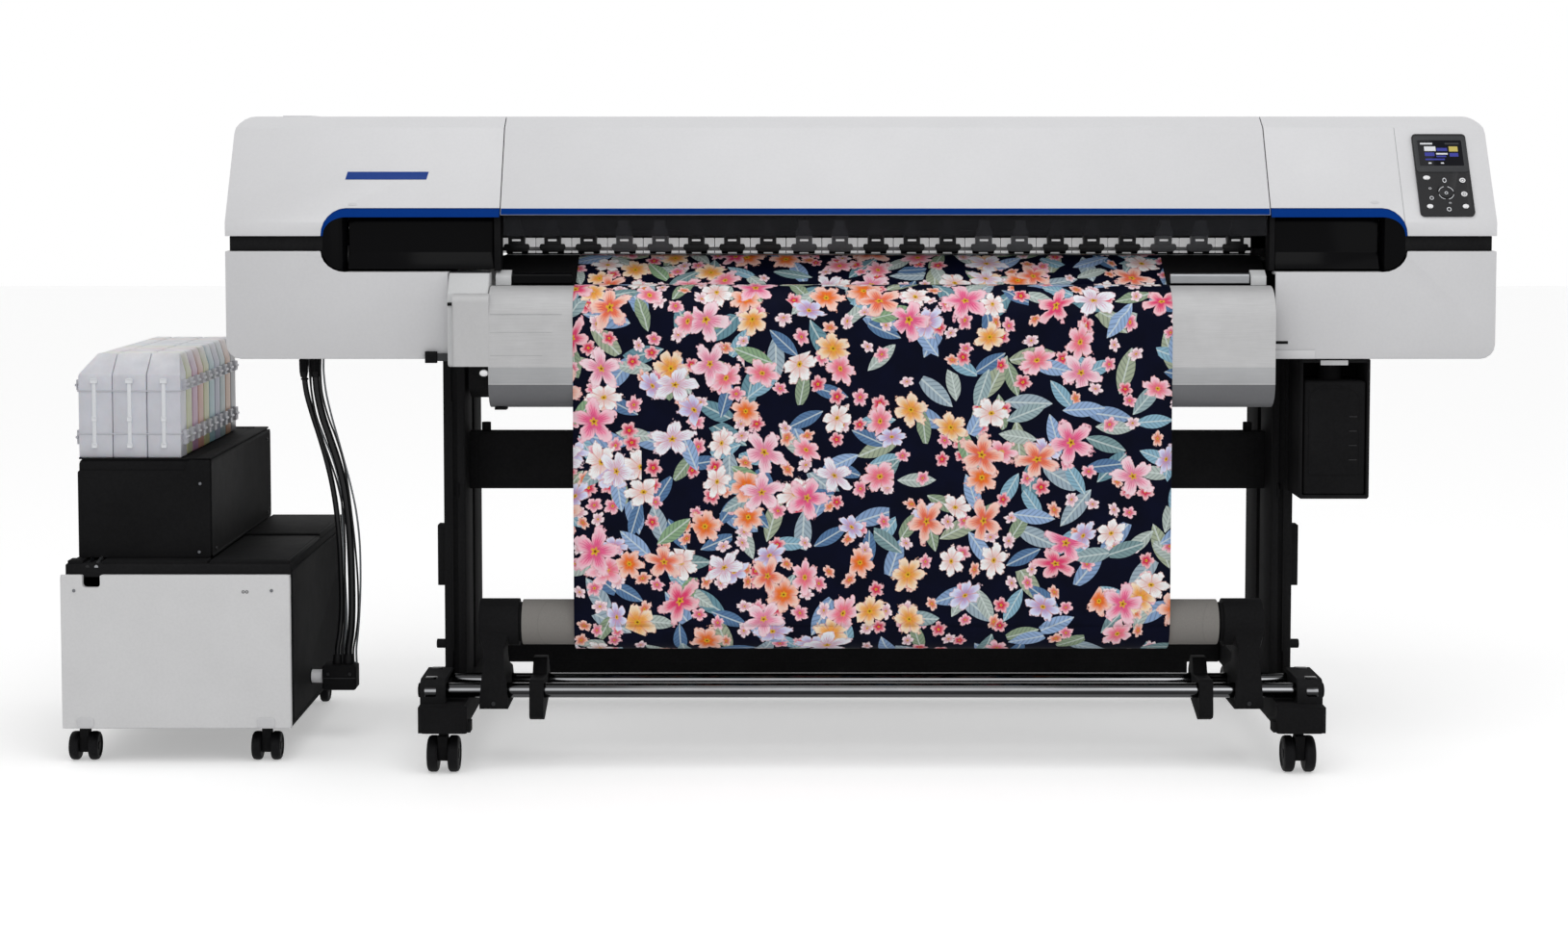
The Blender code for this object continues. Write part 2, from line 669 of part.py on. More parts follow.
# ---------------------------------------------------------------- stand
def mirrored(x):
    """The matching place on the other side of the stand."""
    return 2 * STAND_X - x


def span_at(side, a, b):
    """An X span given for the left side, mirrored for the right side."""
    if side == "left":
        return (a, b)
    return (mirrored(b), mirrored(a))


def build_leg(side):
    centre = STAND_X - LEG_HALF
    left, right = centre - LEG_W / 2, centre + LEG_W / 2
    groove = 0.008
    outline = [(left, LEG_Y[0]), (centre - 0.006, LEG_Y[0]), (centre - 0.006, LEG_Y[0] + groove),
               (centre + 0.006, LEG_Y[0] + groove), (centre + 0.006, LEG_Y[0]), (right, LEG_Y[0]),
               (right, -0.070), (right - groove, -0.070), (right - groove, -0.030), (right, -0.030),
               (right, LEG_Y[1]), (left, LEG_Y[1])]
    if side == "right":
        outline = [(mirrored(x), y) for x, y in reversed(outline)]
    leg = slab(side + "_leg", outline, (FOOT_Z[1] + GAP, 0.840), "XY")
    flange = box(side + "_flange", span_at(side, -0.760, -0.600), (-0.200, 0.108), (0.836, CASE_BOTTOM - GAP))
    latch = box(side + "_latch", span_at(side, left - 0.016, left + 0.002), (-0.185, -0.150), (0.350, 0.480))
    lever = rod(side + "_lever", (span_at(side, left - 0.019, left + 0.002)[0], -0.185, 0.225), 0.021, 0.010, "X", 12)
    paint(add(leg, flange, latch, lever), "black")


def build_foot(side):
    centre = STAND_X - LEG_HALF
    span = span_at(side, centre - FOOT_W / 2, centre + FOOT_W / 2)
    foot = box(side + "_foot", span, FOOT_Y, FOOT_Z)
    saddle = slab(side + "_saddle", [(-0.432, 0.140), (-0.273, 0.140), (-0.273, 0.194, 0.018),
                                     (-0.432, 0.194, 0.018)], span_at(side, -0.7275, -0.6760))
    inner = box(side + "_stop", span_at(side, centre + 0.040, centre + 0.060), (-0.460, -0.425), (0.0912, 0.112))
    holes = [rod(side + "_rail_hole_" + str(k), (span_at(side, RAIL_X[0] - GAP, -0.60)[0], y, RAIL_Z),
                 0.1153, RAIL_R + GAP, "X", 24) for k, y in enumerate(RAIL_Y)]
    paint(cut(add(foot, saddle, inner), *holes), "black")


def build_beams():
    inner = STAND_X - LEG_HALF + LEG_W / 2
    beam = box("cross_beam", (inner + GAP, mirrored(inner) - GAP), (-0.120, -0.080), (0.550, 0.673))
    knobs = [rod("beam_knob_" + s, (span_at(s, -0.634, -0.614)[0], -0.100, 0.670), 0.022, 0.010, "Z", 12)
             for s in ("left", "right")]
    for s, knob in zip(("left", "right"), knobs):
        knob.location.x = sum(span_at(s, -0.634, -0.614)) / 2
    paint(add(beam, *knobs), "black")
    foot_inner = STAND_X - LEG_HALF + FOOT_W / 2
    bar = box("rear_bar", (foot_inner + GAP, mirrored(foot_inner) - GAP), (0.300, 0.360), (0.092, 0.142),
              0.004, 1)
    skirt = box("bar_skirt", span_at("left", -0.560, mirrored(-0.560)), (0.306, 0.354), (0.060, 0.100))
    paint(add(bar, skirt), "black")


def build_rails():
    for name, y in zip(("front_rail", "rear_rail"), RAIL_Y):
        paint(rod(name, (RAIL_X[0], y, RAIL_Z), RAIL_X[1] - RAIL_X[0], RAIL_R, "X", 24), "chrome")


def rail_holes(name, span):
    return [rod(name + "_hole_" + str(k), (span[0] - 0.02, y, RAIL_Z), span[1] - span[0] + 0.04,
                RAIL_R + GAP, "X", 24) for k, y in enumerate(RAIL_Y)]


def build_holder(side):
    """Take-up holder: a hub with a plug that enters the core, on an arm that slides on the rails."""
    y, z = TAKEUP
    arm_span = span_at(side, -0.606, -0.548)
    outline = [(-0.432, 0.132, 0.010), (-0.272, 0.132, 0.010), (-0.272, 0.196, 0.012), (-0.335, 0.215),
               (-0.335, 0.300), (-0.418, 0.300), (-0.432, 0.200)]
    arm = slab("takeup_holder_" + side, outline, arm_span)
    hub = rod(side + "_hub", (span_at(side, -0.6075, -0.5270)[0], y, z), 0.0805, 0.0485, "X", 28)
    flange = rod(side + "_flange_ring", (span_at(side, -0.5275, -0.5205)[0], y, z), 0.007, 0.041, "X", 28)
    plug = rod(side + "_plug", (span_at(side, -0.5210, -0.4950)[0], y, z), 0.026, CORE_BORE - 2 * GAP, "X", 28)
    paint(cut(add(arm, hub, flange, plug), *rail_holes(side + "_holder", arm_span)), "black")


def build_support(side):
    """Small rest for the roll while it is mounted; it slides along both rails."""
    span = span_at(side, -0.5040, -0.4750)
    outline = [(-0.432, 0.116, 0.010), (-0.402, 0.106, 0.006), (-0.272, 0.140, 0.012), (-0.272, 0.190, 0.006),
               (-0.300, 0.222, 0.008), (-0.330, 0.222, 0.008), (-0.350, 0.190, 0.010), (-0.425, 0.192, 0.010)]
    item = slab("roll_support_" + side, outline, span)
    paint(cut(item, *rail_holes(side + "_support", span)), "black")


def build_takeup_roll():
    y, z = TAKEUP
    start, end = CORE_X
    profile = [(start, CORE_BORE), (start, CORE_R), (MEDIA_X[0], CORE_R), (MEDIA_X[0], WOUND_R),
               (MEDIA_X[1], WOUND_R), (MEDIA_X[1], CORE_R), (end, CORE_R), (end, CORE_BORE),
               (start, CORE_BORE)]
    paint(turned("takeup_roll", profile, y, z, 0.0, 32), "card")


def build_supply():
    """Supply roll on its spindle and the rear bracket that holds it."""
    y, z = SUPPLY
    ends = (-0.500, 0.897)
    profile = [(ends[0], 0), (ends[0], SPINDLE_R), (MEDIA_X[0], SPINDLE_R), (MEDIA_X[0], SUPPLY_R),
               (MEDIA_X[1], SUPPLY_R), (MEDIA_X[1], SPINDLE_R), (ends[1], SPINDLE_R), (ends[1], 0)]
    paint(turned("supply_roll", profile, y, z, 0.0, 32), "media")
    beam = box("feed_bracket", (-0.515, 0.912), (0.250 + GAP, 0.285), (0.880, 0.920))
    arms = []
    holes = []
    for side, x in (("left", -0.515), ("right", 0.887)):
        arms.append(slab("feed_arm_" + side, [(0.252, 0.862), (0.420, 0.862, 0.02), (0.420, 0.938, 0.02),
                                              (0.252, 0.938)], (x, x + 0.025)))
        start = -0.5005 if side == "left" else 0.880
        holes.append(rod("feed_hole_" + side, (start, y, z), 0.0175, SPINDLE_R + GAP, "X", 32))
    paint(cut(add(beam, *arms), *holes), "black")


# ---------------------------------------------------------------- waste ink
def build_waste_bottle():
    holder = box("bottle_holder", (1.0875, 1.2335), (-0.333, -0.205), (0.554, CASE_BOTTOM - GAP), 0.004, 1)
    room = box("holder_room", (1.0935, 1.2275), (-0.340, -0.213), (0.562, 0.838))
    paint(cut(holder, room), "black")
    bottle = box("waste_bottle", (1.0965, 1.2245), (-0.331, -0.216), (0.5623, 0.800), 0.006, 2)
    neck = rod("bottle_neck", (1.159, -0.2735, 0.796), 0.034, 0.024, "Z", 20)
    paint(add(bottle, neck), "black")


# ---------------------------------------------------------------- casters
def twin_wheels(name, x, y, radius, half, finish="rubber"):
    """Two wheels on one axle, turned as a single piece."""
    inner = 0.0105
    profile = [(-half, 0), (-half, radius * 0.82), (-half + 0.004, radius), (-inner - 0.002, radius),
               (-inner, radius * 0.9), (-inner, 0.004), (inner, 0.004), (inner, radius * 0.9),
               (inner + 0.002, radius), (half - 0.004, radius), (half, radius * 0.82), (half, 0)]
    return paint(turned(name, profile, y, radius, x, 20), finish)


def fork_solid(name, x, y, radius, top, trail):
    """Housing between the wheels with its stem; the axle passes through it."""
    body = slab(name, [(y + trail - radius * 0.55, radius - 0.012, 0.006), (y + trail + radius * 0.55,
                radius - 0.012, 0.006), (y + trail + radius * 0.55, radius + 0.014, 0.008),
                (y + 0.016, radius * 2 + 0.004), (y - 0.016, radius * 2 + 0.004)],
                (x - 0.0098, x + 0.0098))
    stem = rod(name + "_stem", (x, y, radius * 2), top - radius * 2, 0.009, "Z", 16)
    bore = rod(name + "_bore", (x - 0.03, y + trail, radius), 0.06, 0.0044, "X", 16)
    return cut(add(body, stem), bore)


def build_stand_casters():
    for side, x in (("left", STAND_X - LEG_HALF), ("right", STAND_X + LEG_HALF)):
        for end, y in (("front", CASTER_Y[0]), ("rear", CASTER_Y[1])):
            name = end + "_" + side
            fork = fork_solid("caster_fork_" + name, x, y, STAND_WHEEL_R, FOOT_Z[0] - GAP, TRAIL)
            set_origin(fork, (x, y, FOOT_Z[0]))
            paint(fork, "black")
            twin_wheels("caster_wheel_" + name, x, y + TRAIL, STAND_WHEEL_R, 0.0325)


# ---------------------------------------------------------------- ink-supply unit
def build_cabinet():
    body = box("ink_cabinet", (CABINET_X[0] + 0.008, CABINET_X[1]), (CABINET_Y[0] + 0.012 + GAP, CABINET_Y[1]),
               (CABINET_Z[0], CABINET_TOP), 0.003, 1)
    room = box("cabinet_room", (CABINET_X[0] + 0.014, CABINET_X[1] - 0.006),
               (CABINET_Y[0] - 0.02, CABINET_Y[1] - 0.006), (CABINET_Z[0] + 0.006, CABINET_Z[1] - 0.006))
    forks = []
    bores = []
    for x in (-1.4480, -1.0660):
        for y in (-0.300, 0.300):
            forks.append(box("cabinet_fork", (x - 0.0095, x + 0.0095), (y - 0.013, y + 0.013),
                             (CABINET_WHEEL_R - 0.012, CABINET_Z[0] + 0.003)))
            bores.append(rod("cabinet_bore", (x - 0.02, y, CABINET_WHEEL_R), 0.04, 0.0044, "X", 12))
    cut(body, room)
    add(body, *forks)
    paint(cut(body, *bores), "black")
    for side, x in (("left", -1.4480), ("right", -1.0660)):
        for end, y in (("front", -0.300), ("rear", 0.300)):
            twin_wheels("cabinet_wheel_" + end + "_" + side, x, y, CABINET_WHEEL_R, 0.030)
    front = box("cabinet_front", CABINET_X, (CABINET_Y[0], CABINET_Y[0] + 0.012), CABINET_Z, 0.002, 1)
    notch = box("front_notch", (-1.437, -1.400), (CABINET_Y[0] - 0.01, CABINET_Y[0] + 0.02),
                (CABINET_Z[1] - 0.026, CABINET_Z[1] + 0.01))
    paint(cut(front, notch), "white")


def build_tray():
    tray = box("tank_tray", TRAY_X, TRAY_Y, (CABINET_TOP + GAP, TRAY_TOP), 0.012, 3)
    room = box("tray_room", (TRAY_X[0] + 0.005, TRAY_X[1] - 0.005), (TRAY_Y[0] + 0.005, TRAY_Y[1] - 0.005),
               (CABINET_TOP - 0.01, TRAY_TOP - 0.006))
    paint(cut(tray, room), "black")


def build_tanks():
    """The row of ten ink tanks, side by side from front to back, as one block with grooves."""
    low = TRAY_TOP + GAP
    outline = [(TANK_Y[0], low), (TANK_Y[1], low), (TANK_Y[1], TANK_TOP - 0.015, 0.01), (TANK_Y[1] - 0.01,
               TANK_TOP, 0.006), (TANK_Y[0] + 0.080, TANK_TOP, 0.01), (TANK_Y[0], 0.809, 0.01)]
    tanks = slab("ink_tanks", outline, TANK_X, steps=3)
    pitch = (TANK_Y[1] - TANK_Y[0]) / TANK_COUNT
    grooves = []
    for k in range(1, TANK_COUNT):
        y = TANK_Y[0] + k * pitch
        grooves.append(box("groove", (TANK_X[1] - 0.008, TANK_X[1] + 0.01), (y - 0.002, y + 0.002),
                           (low - 0.01, TANK_TOP + 0.01)))
    paint(cut(tanks, *grooves), "tank")


def build_hoses():
    stub = rod("hose_connector", (CABINET_X[1] + GAP, -0.116, 0.141), 0.030, 0.0135, "X", 20)
    clamp = box("hose_clamp", (-0.978, -0.905), (-0.142, -0.090), (0.114, CLAMP_TOP), 0.004, 1)
    paint(add(stub, clamp), "black")
    tube("hose_main", MAIN_ROUTE, HOSE_R[0], "rubber")
    tube("hose_second", SECOND_ROUTE, HOSE_R[1], "rubber")


def build_all():
    build_chassis()
    build_cases()
    build_covers()
    build_side_block()
    build_platen()
    build_feed()
    build_roller_bar()
    build_media_guide()
    build_web()
    build_carriage()
    build_loading_lever()
    build_control_panel()
    for side in ("left", "right"):
        build_leg(side)
        build_foot(side)
        build_holder(side)
        build_support(side)
    build_beams()
    build_rails()
    build_takeup_roll()
    build_supply()
    build_waste_bottle()
    build_stand_casters()
    build_cabinet()
    build_tray()
    build_tanks()
    build_hoses()


build_all()
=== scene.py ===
import json
import math

import bmesh
import bpy
from mathutils import Matrix, Vector

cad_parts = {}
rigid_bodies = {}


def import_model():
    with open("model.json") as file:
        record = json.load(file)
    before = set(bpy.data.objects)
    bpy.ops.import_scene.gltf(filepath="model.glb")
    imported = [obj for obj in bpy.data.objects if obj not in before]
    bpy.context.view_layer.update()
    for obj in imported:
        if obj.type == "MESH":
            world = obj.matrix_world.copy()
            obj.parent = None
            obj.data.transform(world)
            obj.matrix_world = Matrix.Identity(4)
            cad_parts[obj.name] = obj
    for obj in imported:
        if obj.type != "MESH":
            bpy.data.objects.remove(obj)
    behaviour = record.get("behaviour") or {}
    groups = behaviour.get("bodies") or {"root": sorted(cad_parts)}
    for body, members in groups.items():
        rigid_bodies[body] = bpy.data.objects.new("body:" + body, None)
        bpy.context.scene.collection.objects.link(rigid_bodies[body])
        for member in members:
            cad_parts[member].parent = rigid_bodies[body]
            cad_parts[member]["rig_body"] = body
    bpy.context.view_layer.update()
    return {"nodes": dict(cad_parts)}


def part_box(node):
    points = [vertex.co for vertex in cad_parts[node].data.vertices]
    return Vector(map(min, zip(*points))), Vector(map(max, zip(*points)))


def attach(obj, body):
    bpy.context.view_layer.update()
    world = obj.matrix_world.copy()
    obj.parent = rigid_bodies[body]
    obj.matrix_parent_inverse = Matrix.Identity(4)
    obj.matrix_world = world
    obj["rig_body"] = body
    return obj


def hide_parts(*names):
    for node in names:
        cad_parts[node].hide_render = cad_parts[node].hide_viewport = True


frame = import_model()


# camera, at eye height in front of the machine
cameraLook = {"place": (.0185, -5.90, 1.27), "lens": 61.93, "tiltDown": 3.6, "shiftUp": -.09}


def addCamera():
    bpy.ops.object.camera_add(location=cameraLook["place"],
                              rotation=(math.radians(90 - cameraLook["tiltDown"]), 0, 0))
    camera = bpy.context.object
    camera.data.lens = cameraLook["lens"]
    camera.data.shift_y = cameraLook["shiftUp"]
    bpy.context.scene.camera = camera


# selecting, making and finishing pieces
def onlyThis(piece):
    bpy.ops.object.select_all(action="DESELECT")
    piece.hide_set(False)
    piece.select_set(True)
    bpy.context.view_layer.objects.active = piece


def settle(piece, name):    # its place goes into its mesh, its object to the origin
    onlyThis(piece)
    bpy.ops.object.transform_apply(location=True, rotation=True, scale=True)
    piece.name = name
    piece.data.name = name
    return piece


def block(name, x, y, z):    # a box between two values on each axis
    bpy.ops.object.select_all(action="DESELECT")
    middle = [(low + high) / 2 for low, high in (x, y, z)]
    bpy.ops.mesh.primitive_cube_add(size=1, location=middle)
    piece = bpy.context.object
    piece.scale = (x[1] - x[0], y[1] - y[0], z[1] - z[0])
    return settle(piece, name)


def rod(name, start, end, radius, sides=32, tip=None):    # tip is the radius at the far end
    start, end = Vector(start), Vector(end)
    way = end - start
    bpy.ops.object.select_all(action="DESELECT")
    bpy.ops.mesh.primitive_cone_add(vertices=sides, radius1=radius, radius2=radius if tip is None else tip,
                                    depth=way.length, location=(start + end) / 2,
                                    rotation=way.to_track_quat("Z", "Y").to_euler())
    return settle(bpy.context.object, name)


def ring(name, centre, radius, thick, axis="X", sides=48):
    turn = {"X": (0, math.pi / 2, 0), "Y": (math.pi / 2, 0, 0), "Z": (0, 0, 0)}[axis]
    bpy.ops.object.select_all(action="DESELECT")
    bpy.ops.mesh.primitive_torus_add(location=centre, rotation=turn, major_radius=radius, minor_radius=thick,
                                     major_segments=sides, minor_segments=12)
    return settle(bpy.context.object, name)


def modify(piece, kind, **settings):
    onlyThis(piece)
    change = piece.modifiers.new(kind.lower(), kind)
    for key, value in settings.items():
        setattr(change, key, value)
    bpy.ops.object.modifier_apply(modifier=change.name)
    return piece


def soften(piece, width, segments=3, angle=32):    # round its sharp edges
    modify(piece, "BEVEL", width=width, segments=segments, limit_method="ANGLE",
           angle_limit=math.radians(angle), use_clamp_overlap=True, miter_outer="MITER_ARC")
    return smooth(piece)


def smooth(piece, angle=35):
    onlyThis(piece)
    bpy.ops.object.shade_smooth_by_angle(angle=math.radians(angle))
    return piece


def choose(piece, test, kind="FACE"):    # into edit mode, with the faces or edges that pass the test
    onlyThis(piece)
    bpy.ops.object.mode_set(mode="EDIT")
    bpy.ops.mesh.select_mode(type=kind)
    bpy.ops.mesh.select_all(action="DESELECT")
    shape = bmesh.from_edit_mesh(piece.data)
    if kind == "FACE":
        for face in shape.faces:
            face.select_set(bool(test(face.calc_center_median(), face.normal)))
    elif kind == "EDGE":
        for edge in shape.edges:
            a, b = edge.verts[0].co, edge.verts[1].co
            edge.select_set(bool(test((a + b) / 2, b - a)))
    else:
        for vert in shape.verts:
            vert.select_set(bool(test(vert.co, vert.normal)))
    shape.select_flush_mode()
    bmesh.update_edit_mesh(piece.data)


def leave():
    bpy.ops.object.mode_set(mode="OBJECT")


def insetFaces(piece, test, rim, depth):    # a panel sunk or raised within a rim
    choose(piece, test)
    bpy.ops.mesh.inset(thickness=rim, depth=0)
    bpy.ops.mesh.inset(thickness=abs(depth) * .6, depth=depth)
    leave()
    return piece


def cutLine(piece, place, normal):    # a new edge loop where a plane crosses the piece
    choose(piece, lambda centre, normal: True)
    bpy.ops.mesh.bisect(plane_co=place, plane_no=normal, use_fill=False)
    leave()
    return piece


def moveVerts(piece, test, offset):
    choose(piece, test, "VERT")
    bpy.ops.transform.translate(value=offset)
    leave()
    return piece


def outline(name, points, plane, low, high, hollow=None):    # a flat shape with a thickness
    flat = bpy.data.curves.new(name, "CURVE")
    flat.dimensions = "2D"
    flat.fill_mode = "BOTH"
    flat.extrude = (high - low) / 2
    for loop in filter(None, (points, hollow)):
        line = flat.splines.new("POLY")
        line.points.add(len(loop) - 1)
        for point, place in zip(line.points, loop):
            point.co = (place[0], place[1], 0, 1)
        line.use_cyclic_u = True
    piece = bpy.data.objects.new(name, flat)
    bpy.context.scene.collection.objects.link(piece)
    turn = {"YZ": (math.pi / 2, 0, math.pi / 2), "XZ": (math.pi / 2, 0, 0), "XY": (0, 0, 0)}[plane]
    middle = (low + high) / 2
    piece.location = {"YZ": (middle, 0, 0), "XZ": (0, middle, 0), "XY": (0, 0, middle)}[plane]
    piece.rotation_euler = turn
    onlyThis(piece)
    bpy.ops.object.convert(target="MESH")
    piece = settle(bpy.context.object, name)
    choose(piece, lambda centre, normal: True)
    bpy.ops.mesh.remove_doubles(threshold=.00001)
    bpy.ops.mesh.normals_make_consistent(inside=False)
    leave()
    return piece


def arc(centre, radius, start, end, steps):
    angles = [math.radians(start + (end - start) * k / steps) for k in range(steps + 1)]
    return [(centre[0] + radius * math.cos(a), centre[1] + radius * math.sin(a)) for a in angles]


def oval(centre, width, height, steps=32):
    angles = [math.tau * k / steps for k in range(steps)]
    return [(centre[0] + width / 2 * math.cos(a), centre[1] + height / 2 * math.sin(a)) for a in angles]


def roundedBox(x, z, radius, steps=6):    # a rectangle with round corners
    corners = ((x[1] - radius, z[1] - radius, 0), (x[0] + radius, z[1] - radius, 90),
               (x[0] + radius, z[0] + radius, 180), (x[1] - radius, z[0] + radius, 270))
    return [point for a, b, start in corners for point in arc((a, b), radius, start, start + 90, steps)]


def joined(name, pieces):
    onlyThis(pieces[0])
    for piece in pieces[1:]:
        piece.select_set(True)
    bpy.ops.object.join()
    piece = bpy.context.object
    piece.name = name
    piece.data.name = name
    return piece


def copyAt(piece, offset, name):
    onlyThis(piece)
    bpy.ops.object.duplicate()
    twin = bpy.context.object
    twin.location = offset
    return settle(twin, name)


def turnAbout(piece, place, angle):    # about an axis along X
    onlyThis(piece)
    bpy.context.view_layer.update()
    piece.matrix_world = (Matrix.Translation(place) @ Matrix.Rotation(angle, 4, "X")
                          @ Matrix.Translation(-Vector(place)) @ piece.matrix_world)
    bpy.context.view_layer.update()
    return settle(piece, piece.name)


def spun(name, profile, y, z, sides=64):    # a profile of (x, radius) turned about an axis along X
    bpy.ops.object.select_all(action="DESELECT")
    bpy.ops.mesh.primitive_plane_add(size=1, location=(0, 0, 0))
    piece = bpy.context.object
    bpy.ops.object.mode_set(mode="EDIT")
    bpy.ops.mesh.delete(type="VERT")
    shape = bmesh.from_edit_mesh(piece.data)
    verts = [shape.verts.new((x, y, z + radius)) for x, radius in profile]
    for a, b in zip(verts, verts[1:]):
        shape.edges.new((a, b))
    bmesh.update_edit_mesh(piece.data)
    bpy.ops.mesh.select_all(action="SELECT")
    bpy.ops.mesh.spin(steps=sides, angle=math.tau, center=(0, y, z), axis=(1, 0, 0))
    bpy.ops.mesh.select_all(action="SELECT")
    bpy.ops.mesh.remove_doubles(threshold=.00002)
    bpy.ops.mesh.dissolve_degenerate(threshold=.00001)
    bpy.ops.mesh.normals_make_consistent(inside=False)
    leave()
    return smooth(settle(piece, name), 30)


def dress(piece, look, body="root", stands=()):
    piece.data.materials.clear()
    piece.data.materials.append(look)
    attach(piece, body)
    if stands:
        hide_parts(*stands)
    return piece


# the usual end of a piece on the part that stands still: rounded edges and its look
def finish(piece, width, look, segments=2):
    return dress(soften(piece, width, segments), look, "root")


def bodyOf(node):
    return frame["nodes"][node]["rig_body"]


def roundEdges(piece, test, radius, segments=5):
    choose(piece, test, "EDGE")
    bpy.ops.mesh.bevel(offset=radius, segments=segments, affect="EDGES")
    leave()
    return smooth(piece)


# a softened copy stands for a CAD node; corners is a radius and a test for edges that are rounded first
def refine(node, look, width=.0012, segments=2, angle=32, corners=None):
    source = frame["nodes"][node]
    piece = bpy.data.objects.new(node + "_shell", source.data.copy())
    bpy.context.scene.collection.objects.link(piece)
    choose(piece, lambda centre, normal: True)
    bpy.ops.mesh.remove_doubles(threshold=.00002)
    bpy.ops.mesh.dissolve_limited(angle_limit=math.radians(.8))
    leave()
    if corners:
        roundEdges(piece, corners[1], corners[0])
    modify(piece, "BEVEL", width=width, segments=segments, limit_method="ANGLE",
           angle_limit=math.radians(angle), use_clamp_overlap=True)
    smooth(piece)
    return dress(piece, look, bodyOf(node), [node])


# finishes
def tone(code):    # a web colour as linear light
    parts = [int(code[k:k + 2], 16) / 255 for k in (0, 2, 4)]
    return [p / 12.92 if p <= .04045 else ((p + .055) / 1.055) ** 2.4 for p in parts]


def newLook(name, colour, rough, metal=0, **sockets):
    look = bpy.data.materials.new(name)
    look.use_nodes = True
    tree = look.node_tree
    shader = tree.nodes["Principled BSDF"]
    shader.inputs["Base Color"].default_value = (*tone(colour), 1)
    shader.inputs["Roughness"].default_value = rough
    shader.inputs["Metallic"].default_value = metal
    for key, value in sockets.items():
        shader.inputs[key.replace("_", " ")].default_value = value
    return look, tree, shader


def node(tree, kind, links=(), **settings):    # links are (input, value or socket) pairs
    made = tree.nodes.new("ShaderNode" + kind)
    for key, value in settings.items():
        setattr(made, key, value)
    for key, value in links:
        if isinstance(value, bpy.types.NodeSocket):
            tree.links.new(value, made.inputs[key])
        else:
            made.inputs[key].default_value = value
    return made


def sums(tree, operation, a, b=0.0, c=0.0):
    return node(tree, "Math", ((0, a), (1, b), (2, c)), operation=operation).outputs[0]


def ramp(tree, value, stops, mode="LINEAR"):    # stops are (place, colour)
    made = node(tree, "ValToRGB", ((0, value),))
    line = made.color_ramp
    line.interpolation = mode
    while len(line.elements) < len(stops):
        line.elements.new(.5)
    for element, (place, colour) in zip(line.elements, stops):
        element.position = place
        element.color = (*(tone(colour) if isinstance(colour, str) else [colour] * 3), 1)
    return made.outputs[0]


def blendColours(tree, share, a, b, mode="MIX"):
    made = node(tree, "Mix", data_type="RGBA", blend_type=mode)
    for key, value in ((0, share), (6, a), (7, b)):
        if isinstance(value, bpy.types.NodeSocket):
            tree.links.new(value, made.inputs[key])
        elif isinstance(value, str):
            made.inputs[key].default_value = (*tone(value), 1)
        else:
            made.inputs[key].default_value = value
    return made.outputs[2]


def spread(tree, value, low, high):    # a 0 to 1 value spread between two others
    made = node(tree, "MapRange", (("Value", value), ("To Min", low), ("To Max", high)))
    return made.outputs[0]


def noise(tree, place, scale, detail=2.0, rough=.5):
    made = node(tree, "TexNoise", (("Vector", place), ("Scale", scale), ("Detail", detail),
                                   ("Roughness", rough)))
    return made.outputs["Fac"]


def moulded(name, colour, rough=.42, grain=1400, depth=.00004, mottle=.05, shine=.06, **sockets):
    look, tree, shader = newLook(name, colour, rough, **sockets)
    place = node(tree, "TexCoord").outputs["Object"]
    cloud = noise(tree, place, 9, 4)
    dust = noise(tree, place, 170, 3, .6)
    shade = ramp(tree, cloud, ((.3, 1 - mottle), (.7, 1.0)))
    base = blendColours(tree, 1.0, colour, shade, "MULTIPLY")
    fleck = ramp(tree, dust, ((.35, 1 - mottle * .8), (.62, 1.0)))
    base = blendColours(tree, 1.0, base, fleck, "MULTIPLY")
    tree.links.new(base, shader.inputs["Base Color"])
    wipe = noise(tree, place, 26, 5, .65)
    tree.links.new(spread(tree, wipe, rough - shine, rough + shine), shader.inputs["Roughness"])
    skin = noise(tree, place, grain, 2)
    bump = node(tree, "Bump", (("Strength", .5), ("Distance", depth), ("Height", skin)))
    tree.links.new(bump.outputs[0], shader.inputs["Normal"])
    return look


# drawn or rolled metal, with its lines along one axis
def brushed(name, colour, rough=.34, metal=.9, along="X", lines=1600, depth=.00002):
    look, tree, shader = newLook(name, colour, rough, metal)
    place = node(tree, "TexCoord").outputs["Object"]
    stretch = {"X": (.02, 1, 1), "Y": (1, .02, 1), "Z": (1, 1, .02)}[along]
    drawn = node(tree, "Mapping", (("Vector", place), ("Scale", stretch))).outputs[0]
    streak = noise(tree, drawn, lines, 3, .6)
    cloud = noise(tree, place, 14, 4, .6)
    base = blendColours(tree, 1.0, colour, ramp(tree, streak, ((.25, .86), (.75, 1.0))), "MULTIPLY")
    base = blendColours(tree, 1.0, base, ramp(tree, cloud, ((.3, .9), (.7, 1.0))), "MULTIPLY")
    tree.links.new(base, shader.inputs["Base Color"])
    tree.links.new(spread(tree, cloud, rough - .08, rough + .1), shader.inputs["Roughness"])
    bump = node(tree, "Bump", (("Strength", .4), ("Distance", depth), ("Height", streak)))
    tree.links.new(bump.outputs[0], shader.inputs["Normal"])
    return look


# chrome rails: what they mirror under a dark machine is painted on as bands, from below to above
bandLook = {"low": .1525, "high": .1835,
            "shades": ((0.0, .04), (.12, .20), (.26, .22), (.34, .05), (.52, .08), (.60, 1.0), (.68, 1.0),
                       (.75, .10), (.88, .16), (1.0, .03))}


